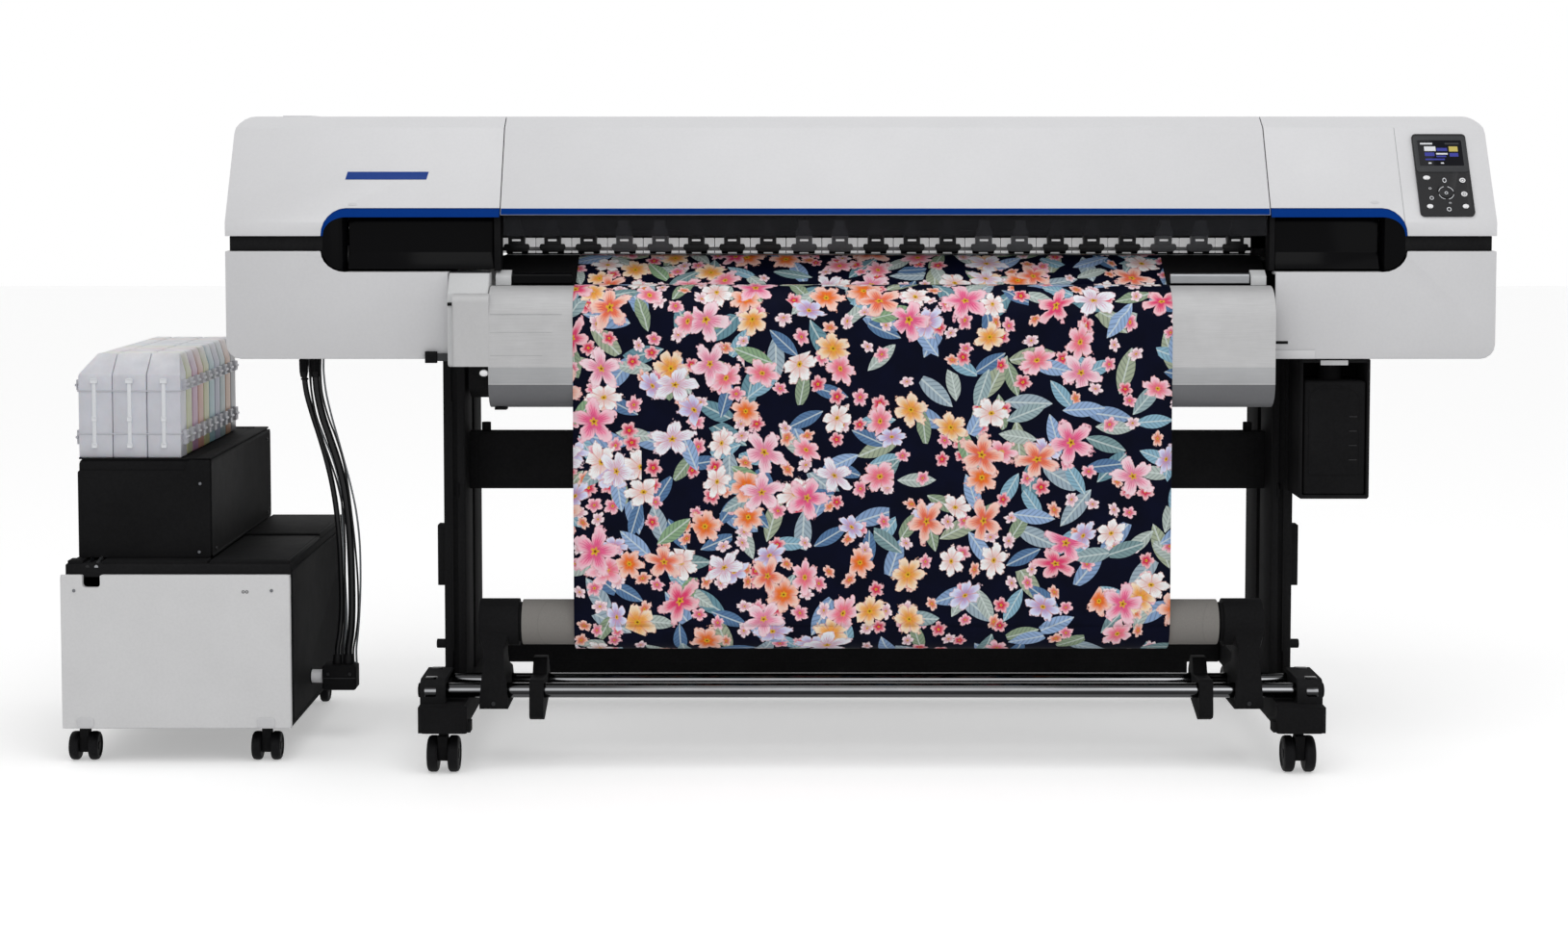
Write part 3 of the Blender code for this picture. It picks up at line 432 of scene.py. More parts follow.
def banded(look):
    tree = look.node_tree
    shader = next(n for n in tree.nodes if n.type == "BSDF_PRINCIPLED")
    height = node(tree, "SeparateXYZ", ((0, node(tree, "TexCoord").outputs["Object"]),)).outputs[2]
    share = node(tree, "MapRange", (("Value", height), ("From Min", bandLook["low"]),
                                    ("From Max", bandLook["high"]))).outputs[0]
    bands = ramp(tree, share, bandLook["shades"])
    plated = shader.inputs["Base Color"].links[0].from_socket
    tree.links.new(blendColours(tree, 1.0, plated, bands, "MULTIPLY"), shader.inputs["Base Color"])
    return look


def wovenCard(name):    # paper core wound from a spiral strip
    look, tree, shader = newLook(name, "7f7c79", .82)
    place = node(tree, "TexCoord").outputs["Object"]
    turned = node(tree, "Mapping", (("Vector", place), ("Rotation", (0, 0, .5)))).outputs[0]
    wrap = node(tree, "TexWave", (("Vector", turned), ("Scale", 4.2), ("Distortion", .3)),
                wave_type="BANDS", bands_direction="X", wave_profile="SAW").outputs["Fac"]
    seam = ramp(tree, wrap, ((.0, .90), (.03, 1.0), (.97, .99), (1.0, .93)))
    fibre = noise(tree, place, 420, 5, .7)
    base = blendColours(tree, 1.0, "827f7b", seam, "MULTIPLY")
    base = blendColours(tree, 1.0, base, ramp(tree, fibre, ((.3, .84), (.7, 1.0))), "MULTIPLY")
    tree.links.new(base, shader.inputs["Base Color"])
    bump = node(tree, "Bump", (("Strength", .6), ("Distance", .00012), ("Height", fibre)))
    tree.links.new(bump.outputs[0], shader.inputs["Normal"])
    return look


def smokedSheet(name):    # dark see-through window
    look, tree, shader = newLook(name, "7a7b80", .10, Transmission_Weight=.94, IOR=1.05)
    place = node(tree, "TexCoord").outputs["Object"]
    wipe = noise(tree, place, 30, 5, .65)
    tree.links.new(spread(tree, wipe, .04, .12), shader.inputs["Roughness"])
    return look


def tankPlastic(name, ink, level):    # frosted wall, with the ink's tint below its level
    look, tree, shader = newLook(name, "d9dbe2", .34, Transmission_Weight=.12, Subsurface_Weight=.12,
                                 Subsurface_Scale=.01)
    place = node(tree, "TexCoord").outputs["Object"]
    height = node(tree, "SeparateXYZ", ((0, place),)).outputs[2]
    cloud = noise(tree, place, 22, 4, .6)
    wavy = sums(tree, "ADD", height, sums(tree, "MULTIPLY", cloud, .05))
    full = node(tree, "MapRange", (("Value", wavy), ("From Min", level - .02), ("From Max", level + .05),
                                   ("To Min", 1.0), ("To Max", 0.0))).outputs[0]
    base = blendColours(tree, full, "f4f4f8", ink)
    base = blendColours(tree, 1.0, base, ramp(tree, cloud, ((.25, .88), (.75, 1.0))), "MULTIPLY")
    tree.links.new(base, shader.inputs["Base Color"])
    tree.links.new(spread(tree, noise(tree, place, 60, 4), .26, .42), shader.inputs["Roughness"])
    bump = node(tree, "Bump", (("Strength", .4), ("Distance", .00005), ("Height", noise(tree, place, 900))))
    tree.links.new(bump.outputs[0], shader.inputs["Normal"])
    return look


# cells over the sheet's own map in metres, each turned by chance and with its own three chances
def scattered(tree, place, pitch, shift, turn, randomness):
    moved = node(tree, "Mapping", (("Vector", place), ("Location", (*shift, 0)), ("Rotation", (0, 0, turn)),
                                   ("Scale", (1 / pitch, 1 / pitch, 1)))).outputs[0]
    cells = node(tree, "TexVoronoi", (("Vector", moved), ("Scale", 1.0), ("Randomness", randomness)),
                 voronoi_dimensions="2D", feature="F1")
    local = node(tree, "VectorMath", ((0, moved), (1, cells.outputs["Position"])),
                 operation="SUBTRACT").outputs[0]
    chance = node(tree, "SeparateColor", ((0, cells.outputs["Color"]),)).outputs
    spin = sums(tree, "MULTIPLY", chance[1], 6.28)
    local = node(tree, "VectorRotate", (("Vector", local), ("Angle", spin)),
                 rotation_type="Z_AXIS").outputs[0]
    return node(tree, "SeparateXYZ", ((0, local),)).outputs, chance, moved


def oneOf(tree, chance, colours):    # one of the colours, by chance
    stops = [((k + .001) / len(colours), colour) for k, colour in enumerate(colours)]
    return ramp(tree, chance, stops, "CONSTANT")


# one layer of the print: a flower in each cell, its petals notched, veined and with a heart
def flowerLayer(tree, place, below, pitch, size, petals, colours, heart, shift, cover=1.0, notch=.42,
                point=.8):
    parts, chance, moved = scattered(tree, place, pitch, shift, 0, .82)
    slant = sums(tree, "MULTIPLY_ADD", chance[0], .55, 1.0)    # some are seen at a slant
    flat = sums(tree, "MULTIPLY", parts[1], slant)
    reach = sums(tree, "SQRT", sums(tree, "ADD", sums(tree, "MULTIPLY", parts[0], parts[0]),
                                    sums(tree, "MULTIPLY", flat, flat)))
    angle = sums(tree, "ARCTAN2", flat, parts[0])
    wobble = noise(tree, moved, 9, 4, .6)
    wave = sums(tree, "ABSOLUTE", sums(tree, "COSINE", sums(tree, "MULTIPLY", angle, petals / 2)))
    edge = sums(tree, "MULTIPLY_ADD", sums(tree, "POWER", wave, point), notch, 1 - notch)
    edge = sums(tree, "MULTIPLY", edge, sums(tree, "MULTIPLY_ADD", wobble, .9, .56))
    edge = sums(tree, "MULTIPLY", edge, sums(tree, "MULTIPLY_ADD", chance[2], size * .45, size * .72))
    inside = sums(tree, "LESS_THAN", reach, edge)
    across = node(tree, "SeparateXYZ", ((0, place),)).outputs[0]
    thinned = sums(tree, "MULTIPLY_ADD", across, -.34 * cover, cover)    # fewer towards the right edge
    inside = sums(tree, "MULTIPLY", inside, sums(tree, "LESS_THAN", chance[2], thinned))
    share = sums(tree, "DIVIDE", reach, edge)
    petal = oneOf(tree, chance[0], colours)
    vein = sums(tree, "ABSOLUTE", sums(tree, "SINE", sums(tree, "MULTIPLY_ADD", wobble, 5.0,
                                                          sums(tree, "MULTIPLY", angle, petals * 3.5))))
    vein = sums(tree, "MULTIPLY", vein, sums(tree, "SUBTRACT", 1.0, share))
    petal = blendColours(tree, ramp(tree, share, ((.35, 0.0), (.85, .60))), petal, "ffffff")
    petal = blendColours(tree, ramp(tree, vein, ((.22, 0.0), (.55, .60))), petal, heart)
    gap = sums(tree, "POWER", sums(tree, "SUBTRACT", 1.0, wave), 5.0)
    petal = blendColours(tree, sums(tree, "MULTIPLY", gap, .75), petal, heart)
    petal = blendColours(tree, ramp(tree, share, ((.90, 0.0), (.98, .40))), petal, heart)
    petal = blendColours(tree, ramp(tree, share, ((.13, 1.0), (.22, 0.0))), petal, "e9b92e")
    petal = blendColours(tree, ramp(tree, share, ((.05, 1.0), (.08, 0.0))), petal, "7a3a18")
    petal = blendColours(tree, 1.0, petal, ramp(tree, wobble, ((.3, .84), (.6, 1.0))), "MULTIPLY")
    return blendColours(tree, inside, below, petal)


# another layer: a leaf in each cell, with its middle rib and side ribs
def leafLayer(tree, place, below, pitch, size, colours, shift, turn, cover=1.0):
    parts, chance = scattered(tree, place, pitch, shift, turn, .9)[:2]
    long = sums(tree, "DIVIDE", parts[0], size)
    taper = sums(tree, "SUBTRACT", 1.0, sums(tree, "MULTIPLY", long, long))
    belly = sums(tree, "MULTIPLY", taper, size * .36)
    across = sums(tree, "ABSOLUTE", parts[1])
    inside = sums(tree, "MULTIPLY", sums(tree, "LESS_THAN", across, belly),
                  sums(tree, "LESS_THAN", chance[2], cover))
    leaf = oneOf(tree, chance[0], colours)
    rib = sums(tree, "LESS_THAN", across, size * .035)
    oblique = sums(tree, "ADD", long, sums(tree, "DIVIDE", across, size))
    side = sums(tree, "SINE", sums(tree, "MULTIPLY", oblique, 26))
    leaf = blendColours(tree, ramp(tree, side, ((.3, 0.0), (.9, .35))), leaf, "1b2a4a")
    leaf = blendColours(tree, sums(tree, "MULTIPLY", rib, .6), leaf, "dfe9e6")
    return blendColours(tree, inside, below, leaf)


printLook = {"ground": "03051a", "blank": "efefee"}


def floralPrint(name, start):    # blank medium up to the print head, then flowers and leaves on a dark ground
    look, tree, shader = newLook(name, printLook["ground"], .62, Specular_IOR_Level=.06)
    place = node(tree, "UVMap").outputs["UV"]
    base = blendColours(tree, noise(tree, place, 18, 3), "01020a", "070c26")
    base = leafLayer(tree, place, base, .088, .56, ("a3b6c2", "6f97a4", "a8b39a", "8aa6cc"),
                     (.3, 1.7), .4, .62)
    base = leafLayer(tree, place, base, .072, .55, ("8fb8cc", "93a68a", "5c7ea6", "b9c6c0"),
                     (4.1, .2), 1.3, .60)
    base = flowerLayer(tree, place, base, .042, .48, 5, ("f03a62", "ff86a6", "ffd9e4", "ff9a6a"), "b81a44",
                       (2.3, 5.1), .70)
    base = leafLayer(tree, place, base, .104, .42, ("9db4b8", "8fae88", "9ab6dc", "7f9da0"),
                     (2.2, 8.4), 2.2, .42)
    base = flowerLayer(tree, place, base, .080, .53, 6, ("ff8a3c", "ffc765", "ffffff", "ff8fb2", "b9c6ff"),
                       "e0521c", (.7, 3.3), .78)
    base = flowerLayer(tree, place, base, .108, .54, 5, ("ff7aa8", "ffb3cc", "ff8a48", "eef0ff", "f5527c"),
                       "d02a66", (7.7, 1.1), .60, .60, 1.1)
    grain = noise(tree, place, 1500, 2)
    base = blendColours(tree, 1.0, base, ramp(tree, grain, ((.2, .95), (.7, 1.0))), "MULTIPLY")
    walked = node(tree, "SeparateXYZ", ((0, place),)).outputs[1]
    base = blendColours(tree, sums(tree, "GREATER_THAN", walked, start), printLook["blank"], base)
    tree.links.new(base, shader.inputs["Base Color"])
    bump = node(tree, "Bump", (("Strength", .3), ("Distance", .00005), ("Height", grain)))
    tree.links.new(bump.outputs[0], shader.inputs["Normal"])
    return look


def makeLooks():
    return {
        "white": moulded("white_moulding", "dddddf", .46, mottle=.025),
        "seam": moulded("seam_shade", "a9a9ab", .5, mottle=.04),
        "grey": moulded("grey_moulding", "d2d2d4", .48, mottle=.03),
        "block": moulded("block_moulding", "cfd0d1", .46, mottle=.03),
        "black": moulded("black_moulding", "1e1e1f", .64, mottle=.2, Specular_IOR_Level=.02),
        "gloss": moulded("gloss_black_cover", "040406", .16, depth=.00001, mottle=.2, shine=.05,
                         Specular_IOR_Level=.06),
        "slope": moulded("satin_charcoal", "303134", .42, mottle=.12, Specular_IOR_Level=.2),
        "powder": moulded("black_powder_coat", "252526", .70, grain=900, depth=.00008, mottle=.2,
                          Specular_IOR_Level=.01),
        "cream": moulded("white_powder_coat", "dcdcdd", .45, grain=900, depth=.00006, mottle=.04),
        "sheetGrey": moulded("guide_moulding", "c3c3c4", .46, mottle=.04),
        "guide": brushed("guide_sheet", "cccccd", .5, .12, "X", 900, .00001),
        "strip": brushed("heater_strip", "b0b1b3", .46, .2, "X", 900, .00001),
        "steel": brushed("turned_steel", "9a9c9f", .3, .95, "X"),
        "rail": banded(brushed("chrome_rail_plate", "b4b5b8", .14, 1.0, "X", 500, .000004)),
        "tile": moulded("platen_tile_painted_glow", "f4f4f6", .3, mottle=.04, Emission_Color=(1, 1, 1, 1),
                        Emission_Strength=.30),    # painted light: the tiles glow to stay bright in the shade of the covers
        "fitting": moulded("tank_fitting", "c9cad1", .32, mottle=.08, Transmission_Weight=.1),
        "arm": moulded("press_arm_black", "2b2b2d", .45, mottle=.12, Specular_IOR_Level=.3),
        "armGrey": moulded("press_arm_grey", "77787b", .45, mottle=.08, Specular_IOR_Level=.3),
        "rubber": moulded("roller_rubber", "101012", .62, grain=700, depth=.00008, mottle=.2,
                          Specular_IOR_Level=.2),
        "tyre": moulded("caster_tread", "141416", .58, grain=600, depth=.0001, mottle=.25,
                        Specular_IOR_Level=.10),
        # painted shade: a darker grey for the guide's faces that turn down or back
        "paintedShade": moulded("guide_painted_shade", "66676a", .5, mottle=.06),
        "keycap": moulded("key_cap", "f0f0f2", .35, mottle=.02),
        "frameGrey": moulded("display_frame", "3d3e40", .42, mottle=.08, Specular_IOR_Level=.15),
        "panel": moulded("panel_face", "242426", .38, mottle=.1, Specular_IOR_Level=.2),
        "screenBlue": moulded("screen_blue", "28309a", .2, mottle=.05),
        "screenGold": moulded("screen_gold", "c9b85a", .2, mottle=.05),
        "card": wovenCard("card_core"),
        "smoke": smokedSheet("smoked_window"),
        "blue": moulded("blue_band", "003584", .42, mottle=.06, Specular_IOR_Level=.03),
        "hose": moulded("hose_jacket", "101113", .34, grain=1200, depth=.00005, mottle=.2,
                        Specular_IOR_Level=.3),
        "clear": moulded("clear_tube", "8b9094", .18, depth=.00001, mottle=.08, Transmission_Weight=.45),
        "pin": brushed("plated_pin", "d4d5d8", .2, 1.0, "Z", 700, .00001),
        "print": floralPrint("floral_print", printStart()),
        "plainRoll": moulded("blank_medium", "efefee", .6, grain=1800, mottle=.04),
        "mark": moulded("white_mark", "e4e6ea", .4, mottle=.04),
        "lcd": moulded("display_glass", "070810", .10, depth=.000005, mottle=.06, shine=.03,
                       Specular_IOR_Level=.12),
        "tag": moulded("bare_tag", "dedfe0", .5, mottle=.05),
        "navy": moulded("bare_name_plate", "1c3f8c", .38, mottle=.05, Specular_IOR_Level=.15),
        "screw": brushed("screw_head", "7d7f83", .36, .9, "Z", 700, .00001),
        "darkScrew": brushed("black_screw_head", "2c2d2f", .45, .6, "Z", 700, .00001),
    }


# hoses: the same routes as their CAD solids
hoseLook = {"mainRadius": .008, "secondRadius": .006}
mainRoute = [(-.9895, -.112, .8297), (-.9895, -.112, .800), (-.9860, -.112, .755), (-.9755, -.112, .705),
             (-.9610, -.112, .660), (-.9455, -.112, .612), (-.9325, -.112, .560), (-.9235, -.113, .500),
             (-.9185, -.114, .430), (-.9160, -.115, .350), (-.9160, -.116, .280), (-.9190, -.116, .235),
             (-.9240, -.116, .200), (-.9240, -.116, .1683)]
secondRoute = [(-1.0150, -.112, .8297), (-1.0150, -.112, .805), (-1.0100, -.111, .758), (-.9985, -.109, .712),
               (-.9840, -.107, .664), (-.9700, -.106, .614), (-.9580, -.105, .560), (-.9490, -.105, .500),
               (-.9430, -.105, .430), (-.9400, -.106, .350), (-.9395, -.108, .285), (-.9430, -.113, .235),
               (-.9480, -.116, .200), (-.9480, -.116, .1683)]


def smoothRoute(route, steps=8):    # a smooth curve through the route's own points
    fine = []
    for i in range(len(route) - 1):
        before, here = Vector(route[max(i - 1, 0)]), Vector(route[i])
        after, beyond = Vector(route[i + 1]), Vector(route[min(i + 2, len(route) - 1)])
        for k in range(steps):
            t = k / steps
            fine.append(.5 * (2 * here + (after - before) * t
                              + (2 * before - 5 * here + 4 * after - beyond) * t ** 2
                              + (3 * here - before - 3 * after + beyond) * t ** 3))
    return fine + [Vector(route[-1])]


def hose(name, route, radius, look, stands=()):
    points = smoothRoute(route)
    line = bpy.data.curves.new(name, "CURVE")
    line.dimensions = "3D"
    line.bevel_depth = radius
    line.bevel_resolution = 4
    line.use_fill_caps = True
    spline = line.splines.new("POLY")
    spline.points.add(len(points) - 1)
    for point, place in zip(spline.points, points):
        point.co = (*place, 1)
    spline.use_smooth = True
    piece = bpy.data.objects.new(name, line)
    bpy.context.scene.collection.objects.link(piece)
    dress(piece, look, "root", stands)
    return piece


# thin clear ink tubes that run beside the two jackets
tubeLook = {"radius": .0022, "places": ((-.0125, -.0065), (-.0125, .0050), (.0125, -.0085), (.0165, .0045))}


def addHoses(looks):
    hose("hose_main_jacket", mainRoute, hoseLook["mainRadius"], looks["hose"], ["hose_main"])
    hose("hose_second_jacket", secondRoute, hoseLook["secondRadius"], looks["hose"], ["hose_second"])
    for k, (across, forward) in enumerate(tubeLook["places"]):
        sway = [.0035 * math.sin(i * 1.1 + k * 1.7) * math.sin(math.pi * i / (len(mainRoute) - 1))
                for i in range(len(mainRoute))]
        route = [(x + across + s, y + forward, z) for (x, y, z), s in zip(mainRoute, sway)]
        hose("ink_tube_" + str(k + 1), route, tubeLook["radius"], looks["clear" if k % 2 else "hose"])


# the medium, one sheet from the supply roll over the platen and the guide to the take-up roll
webLook = {"headY": -.170, "thick": .0005, "rows": 150, "columns": 48, "ripple": .0016, "waves": 3.5,
           "clearance": .0008, "enterY": .256, "platenY": (.240, -.2415), "fold": (-.340, 1.0004),
           "bend": .064, "bendDrop": .063}    # the guide's top: its radius, and its centre's depth below it


def webPath():
    platen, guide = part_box("platen"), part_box("media_guide")
    supply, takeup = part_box("supply_roll"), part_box("takeup_roll")
    gap = webLook["clearance"]
    level = platen[1].z + gap
    supplyAxis = Vector(((supply[0].y + supply[1].y) / 2, (supply[0].z + supply[1].z) / 2))
    takeupAxis = Vector(((takeup[0].y + takeup[1].y) / 2, (takeup[0].z + takeup[1].z) / 2))
    reach = (supply[1].y - supply[0].y) / 2 + gap
    enter = Vector((webLook["enterY"], level + .0006))
    offset = enter - supplyAxis
    lean = math.atan2(offset.y, offset.x) - math.acos(reach / offset.length)
    start = supplyAxis + Vector((math.cos(lean), math.sin(lean))) * reach
    bend = webLook["bend"]
    centre = (guide[0].y + bend, guide[1].z - webLook["bendDrop"])
    wound = (takeup[1].z - takeup[0].z) / 2
    path = [start, enter] + [Vector((y, level)) for y in webLook["platenY"]] + [Vector(webLook["fold"])]
    path += [Vector(p) for p in arc(centre, bend + .0010, 90, 180, 14)]
    return path + [Vector((takeupAxis.x - wound - gap, takeupAxis.y))]


def webLength():
    path = webPath()
    return sum((b - a).length for a, b in zip(path, path[1:]))


def printStart():    # how far along the sheet the print head stands
    path = webPath()
    walked = 0.0
    for a, b in zip(path, path[1:]):
        if b.x < webLook["headY"]:
            return walked + (a.x - webLook["headY"])
        walked += (b - a).length
    return walked


def pointAlong(path, walked):
    for a, b in zip(path, path[1:]):
        step = (b - a).length
        if walked <= step:
            return a + (b - a) * (walked / step)
        walked -= step
    return path[-1]


def addWeb(looks):
    path = webPath()
    total = webLength()
    low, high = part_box("media_web")
    width = high.x - low.x
    bpy.ops.object.select_all(action="DESELECT")
    bpy.ops.mesh.primitive_grid_add(x_subdivisions=webLook["columns"], y_subdivisions=webLook["rows"], size=1)
    piece = bpy.context.object
    marks = [0.0]
    for a, b in zip(path, path[1:]):
        marks.append(marks[-1] + (b - a).length)
    uv = piece.data.uv_layers.active.data
    for loop in piece.data.loops:
        at = piece.data.vertices[loop.vertex_index].co
        uv[loop.index].uv = ((at.x + .5) * width, (.5 - at.y) * total)
    free = marks[-2]    # where the sheet leaves the guide
    for vert in piece.data.vertices:
        across, down = vert.co.x + .5, .5 - vert.co.y
        walked = down * total
        nearest = min(marks, key=lambda mark: abs(mark - walked))    # rows near a bend are drawn onto it
        if abs(nearest - walked) < total / webLook["rows"] * .5:
            walked = nearest
        place = pointAlong(path, walked)
        hang = max(0.0, (walked - free) / (total - free))
        out = math.sin(math.pi * min(hang, 1)) ** 1.5 * webLook["ripple"]
        wave = .5 + .5 * math.sin(across * math.tau * webLook["waves"] + hang * 2.2)
        vert.co = (low.x + across * width, place.x - out * wave, place.y)
    settle(piece, "printed_media")
    sheet = piece.modifiers.new("thickness", "SOLIDIFY")
    sheet.thickness = webLook["thick"]
    sheet.offset = 0
    sheet.material_offset = 1    # the back of the sheet stays blank
    onlyThis(piece)
    bpy.ops.object.shade_smooth()
    dress(piece, looks["print"], "root", ["media_web"])
    piece.data.materials.append(looks["plainRoll"])


# floor, lights and background
lightLook = {"ambient": .60, "floor": "f4f4f4", "floorGlow": .37,
             "lamps": {"key": ((.1, -3.0, 5.0), (0, 0, .7), 3.6, 76),    # place, aim, size, power
                       "fill": ((3.2, -3.4, 2.2), (.2, 0, .8), 2.6, 12)}}


def seenDirectly(tree):    # 1 for what the eye meets, also in mirrors and through glass
    path = node(tree, "LightPath")
    seen = sums(tree, "MAXIMUM", path.outputs["Is Camera Ray"], path.outputs["Is Glossy Ray"])
    return sums(tree, "MAXIMUM", seen, path.outputs["Is Transmission Ray"])


def addStage():
    scene = bpy.context.scene
    scene.view_settings.view_transform = "Standard"
    bpy.ops.object.select_all(action="DESELECT")
    bpy.ops.mesh.primitive_plane_add(size=40, location=(0, 0, 0))
    floor = settle(bpy.context.object, "floor")
    look, tree, shader = newLook("pale_floor", lightLook["floor"], .8)
    glow = sums(tree, "MULTIPLY", seenDirectly(tree), lightLook["floorGlow"])
    tree.links.new(glow, shader.inputs["Emission Strength"])
    shader.inputs["Emission Color"].default_value = (1, 1, 1, 1)
    floor.data.materials.append(look)
    world = bpy.data.worlds.new("studio")
    scene.world = world
    world.use_nodes = True
    tree = world.node_tree
    tree.nodes.clear()
    strength = spread(tree, seenDirectly(tree), lightLook["ambient"], 1.0)
    sky = node(tree, "Background", (("Color", (1, 1, 1, 1)), ("Strength", strength)))
    tree.links.new(sky.outputs[0], node(tree, "OutputWorld").inputs[0])
    for name, (place, aim, size, power) in lightLook["lamps"].items():
        bpy.ops.object.light_add(type="AREA", location=place)
        lamp = bpy.context.object
        lamp.name = name + "_light"
        lamp.data.size = size
        lamp.data.energy = power
        lamp.rotation_euler = (Vector(aim) - Vector(place)).to_track_quat("-Z", "Y").to_euler()


addCamera()
print("camera in place")
looks = makeLooks()
print("finishes made")
addHoses(looks)
print("hoses laid")
addWeb(looks)
print("medium threaded")
addStage()
print("floor and lights in place")

# softened copies of the plain CAD parts: look, slot, edge radius
plainParts = {
    "left_top_cover": ("white", "white_plastic", .0020), "right_top_cover": ("white", "white_plastic", .0020),
    "rear_case": ("white", "white_plastic", .0012), "front_cover": ("white", "white_plastic", .0012),
    "lower_case_left": ("grey", "grey_plastic", .0020), "lower_case_right": ("grey", "grey_plastic", .0020),
    "left_access_cover": ("gloss", "gloss_black", .0010),
    "right_access_cover": ("gloss", "gloss_black", .0010),
    "front_window": ("smoke", "smoke_window", .0006), "chassis": ("powder", "black_frame", .0015),
    "side_block": ("block", "grey_plastic", .0030), "platen": ("black", "black_plastic", .0008),
    "media_guide": ("guide", "guide_sheet", .0008),
    "carriage": ("powder", "black_frame", .0020), "loading_lever": ("grey", "grey_plastic", .0015),
    "left_leg": ("powder", "black_frame", .0016), "right_leg": ("powder", "black_frame", .0016),
    "cross_beam": ("powder", "black_frame", .0020), "rear_bar": ("powder", "black_frame", .0015),
    "front_rail": ("rail", "chrome_rail", .0008), "rear_rail": ("rail", "chrome_rail", .0008),
    "roll_support_left": ("black", "black_plastic", .0020),
    "roll_support_right": ("black", "black_plastic", .0020),
    "feed_roller": ("steel", "roller_steel", .0006), "feed_bracket": ("powder", "black_frame", .0015),
    "bottle_holder": ("powder", "black_frame", .0020), "waste_bottle": ("black", "black_plastic", .0040),
    "ink_cabinet": ("powder", "black_frame", .0020),
    "hose_connector": ("black", "black_plastic", .0012),
}
for part, (lookName, slotName, width) in plainParts.items():
    refine(part, looks[lookName], width)
alongX = lambda c, d: abs(d.x) > .99 * d.length
for part in ("left_foot", "right_foot"):
    refine(part, looks["powder"], .0025,
           corners=(.0100, lambda c, d: alongX(c, d) and c.z > .16 and c.y < -.25))
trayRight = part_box("tank_tray")[1].x
refine("tank_tray", looks["black"], .0020,
       corners=(.0120, lambda c, d: (alongX(c, d) and c.z > .62 and c.y > .33)
                or (abs(d.y) > .9 * d.length and c.x > trayRight - .001)))
print("cases, covers and frame softened")


# blue bands, the ends of the side recesses, and what lies on the covers
coverLook = {"front": -.360, "crease": 1.129, "slope": .597, "tilt": math.atan(.597),
             "out": math.hypot(1, .597), "stripeLow": 1.1395, "stripeTop": 1.1580,
             "centreX": (-.5645, 1.0185), "centreZ": (1.1446, 1.1575),
             "lipZ": 1.101, "bend": .050, "linerZ": (1.0278, 1.1568), "mouthZ": (1.0285, 1.1565),
             "recesses": (("left", -.934, -.5675, 1), ("right", 1.300, 1.0215, -1))}    # end, inner edge, way


def coverFront(z):    # where the upper covers' front lies at a height
    return coverLook["front"] + max(0.0, z - coverLook["crease"]) * coverLook["slope"]


def recessArc(end, way, inset, rise):    # the rounded end of a recess, drawn in by an inset
    centre = end + way * coverLook["bend"]
    reach = coverLook["bend"] - inset
    return [(centre - way * reach * math.cos(a), coverLook["lipZ"] + rise * math.sin(a))
            for a in [math.pi / 2 * k / 16 for k in range(17)]]


def followSlope(piece, lift, back=0.0):    # lay a flat piece on the sloping front of the covers
    for vert in piece.data.vertices:
        base = coverFront(vert.co.z)
        vert.co.y = base - lift if vert.co.y < 0 else base + back
    return piece


def addStripes(looks):
    full = coverLook["stripeTop"] - coverLook["lipZ"]
    thin = coverLook["stripeLow"] - coverLook["lipZ"]
    for side, end, inner, way in coverLook["recesses"]:
        outer = recessArc(end, way, .0004, full - .0004) + [(inner, coverLook["stripeTop"] - .0004)]
        inside = [(inner, coverLook["stripeLow"])] + recessArc(end, way, .0042, thin)[::-1]
        stripe = outline(side + "_blue_band", outer + inside, "XZ", -.01, .01)
        followSlope(stripe, -.0022, .0052)
        dress(smooth(stripe), looks["blue"], "root")
        liner = outline(side + "_recess_end", [(end - way * .002, -.3510), (end + way * .014, -.3478),
                        (end + way * .032, -.3400), (end + way * .044, -.3300), (end + way * .0500, -.3160),
                        (end + way * .0500, -.3060), (end - way * .002, -.3060)], "XY", *coverLook["linerZ"])
        liner = trimmed(liner, end, way)
        dress(smooth(liner, 50), looks["gloss"], "root")
    stripe = block("centre_blue_band", coverLook["centreX"], (-.01, .01), coverLook["centreZ"])
    followSlope(stripe, .0010, -.0001)
    dress(soften(stripe, .0004, 2), looks["blue"], "front_cover")


def trimmed(piece, end, way):    # keep the recess's end piece inside the rounded mouth
    mouthLow, mouthTop = coverLook["mouthZ"]
    for vert in piece.data.vertices:
        reach = min(1.0, max(0.0, way * (vert.co.x - end) / coverLook["bend"]))
        grow = math.sqrt(max(0.0, 1 - (1 - reach) ** 2))
        upper = coverLook["lipZ"] + (mouthTop - coverLook["lipZ"]) * grow
        lower = 1.0700 - (1.0700 - mouthLow) * grow
        vert.co.z = upper if vert.co.z > 1.09 else lower
    return piece


trimLook = {"plateX": (-.890, -.722), "plateZ": (1.2165, 1.2325), "lean": .004, "rise": .0008,
            "pad": ((-1.045, -.985), (-.160, -.040), (1.3478, 1.3505)), "seamX": (1.293, 1.2944),
            "seamZ": (1.1290, 1.3240),
            "dots": (("left_sensor_dot", -.8700, 1.1660), ("right_sensor_dot", 1.2360, 1.1700)),
            "posts": (("left_window_post", (-.5790, -.5655)), ("right_window_post", (1.0195, 1.0300))),
            "baffles": (("inner_baffle", (-.430, .830), (1.0660, 1.3000)),
                        ("inner_baffle_left", (-.926, -.4305), (1.0580, 1.3000)),
                        ("inner_baffle_right", (.8305, 1.292), (1.0580, 1.3000)))}


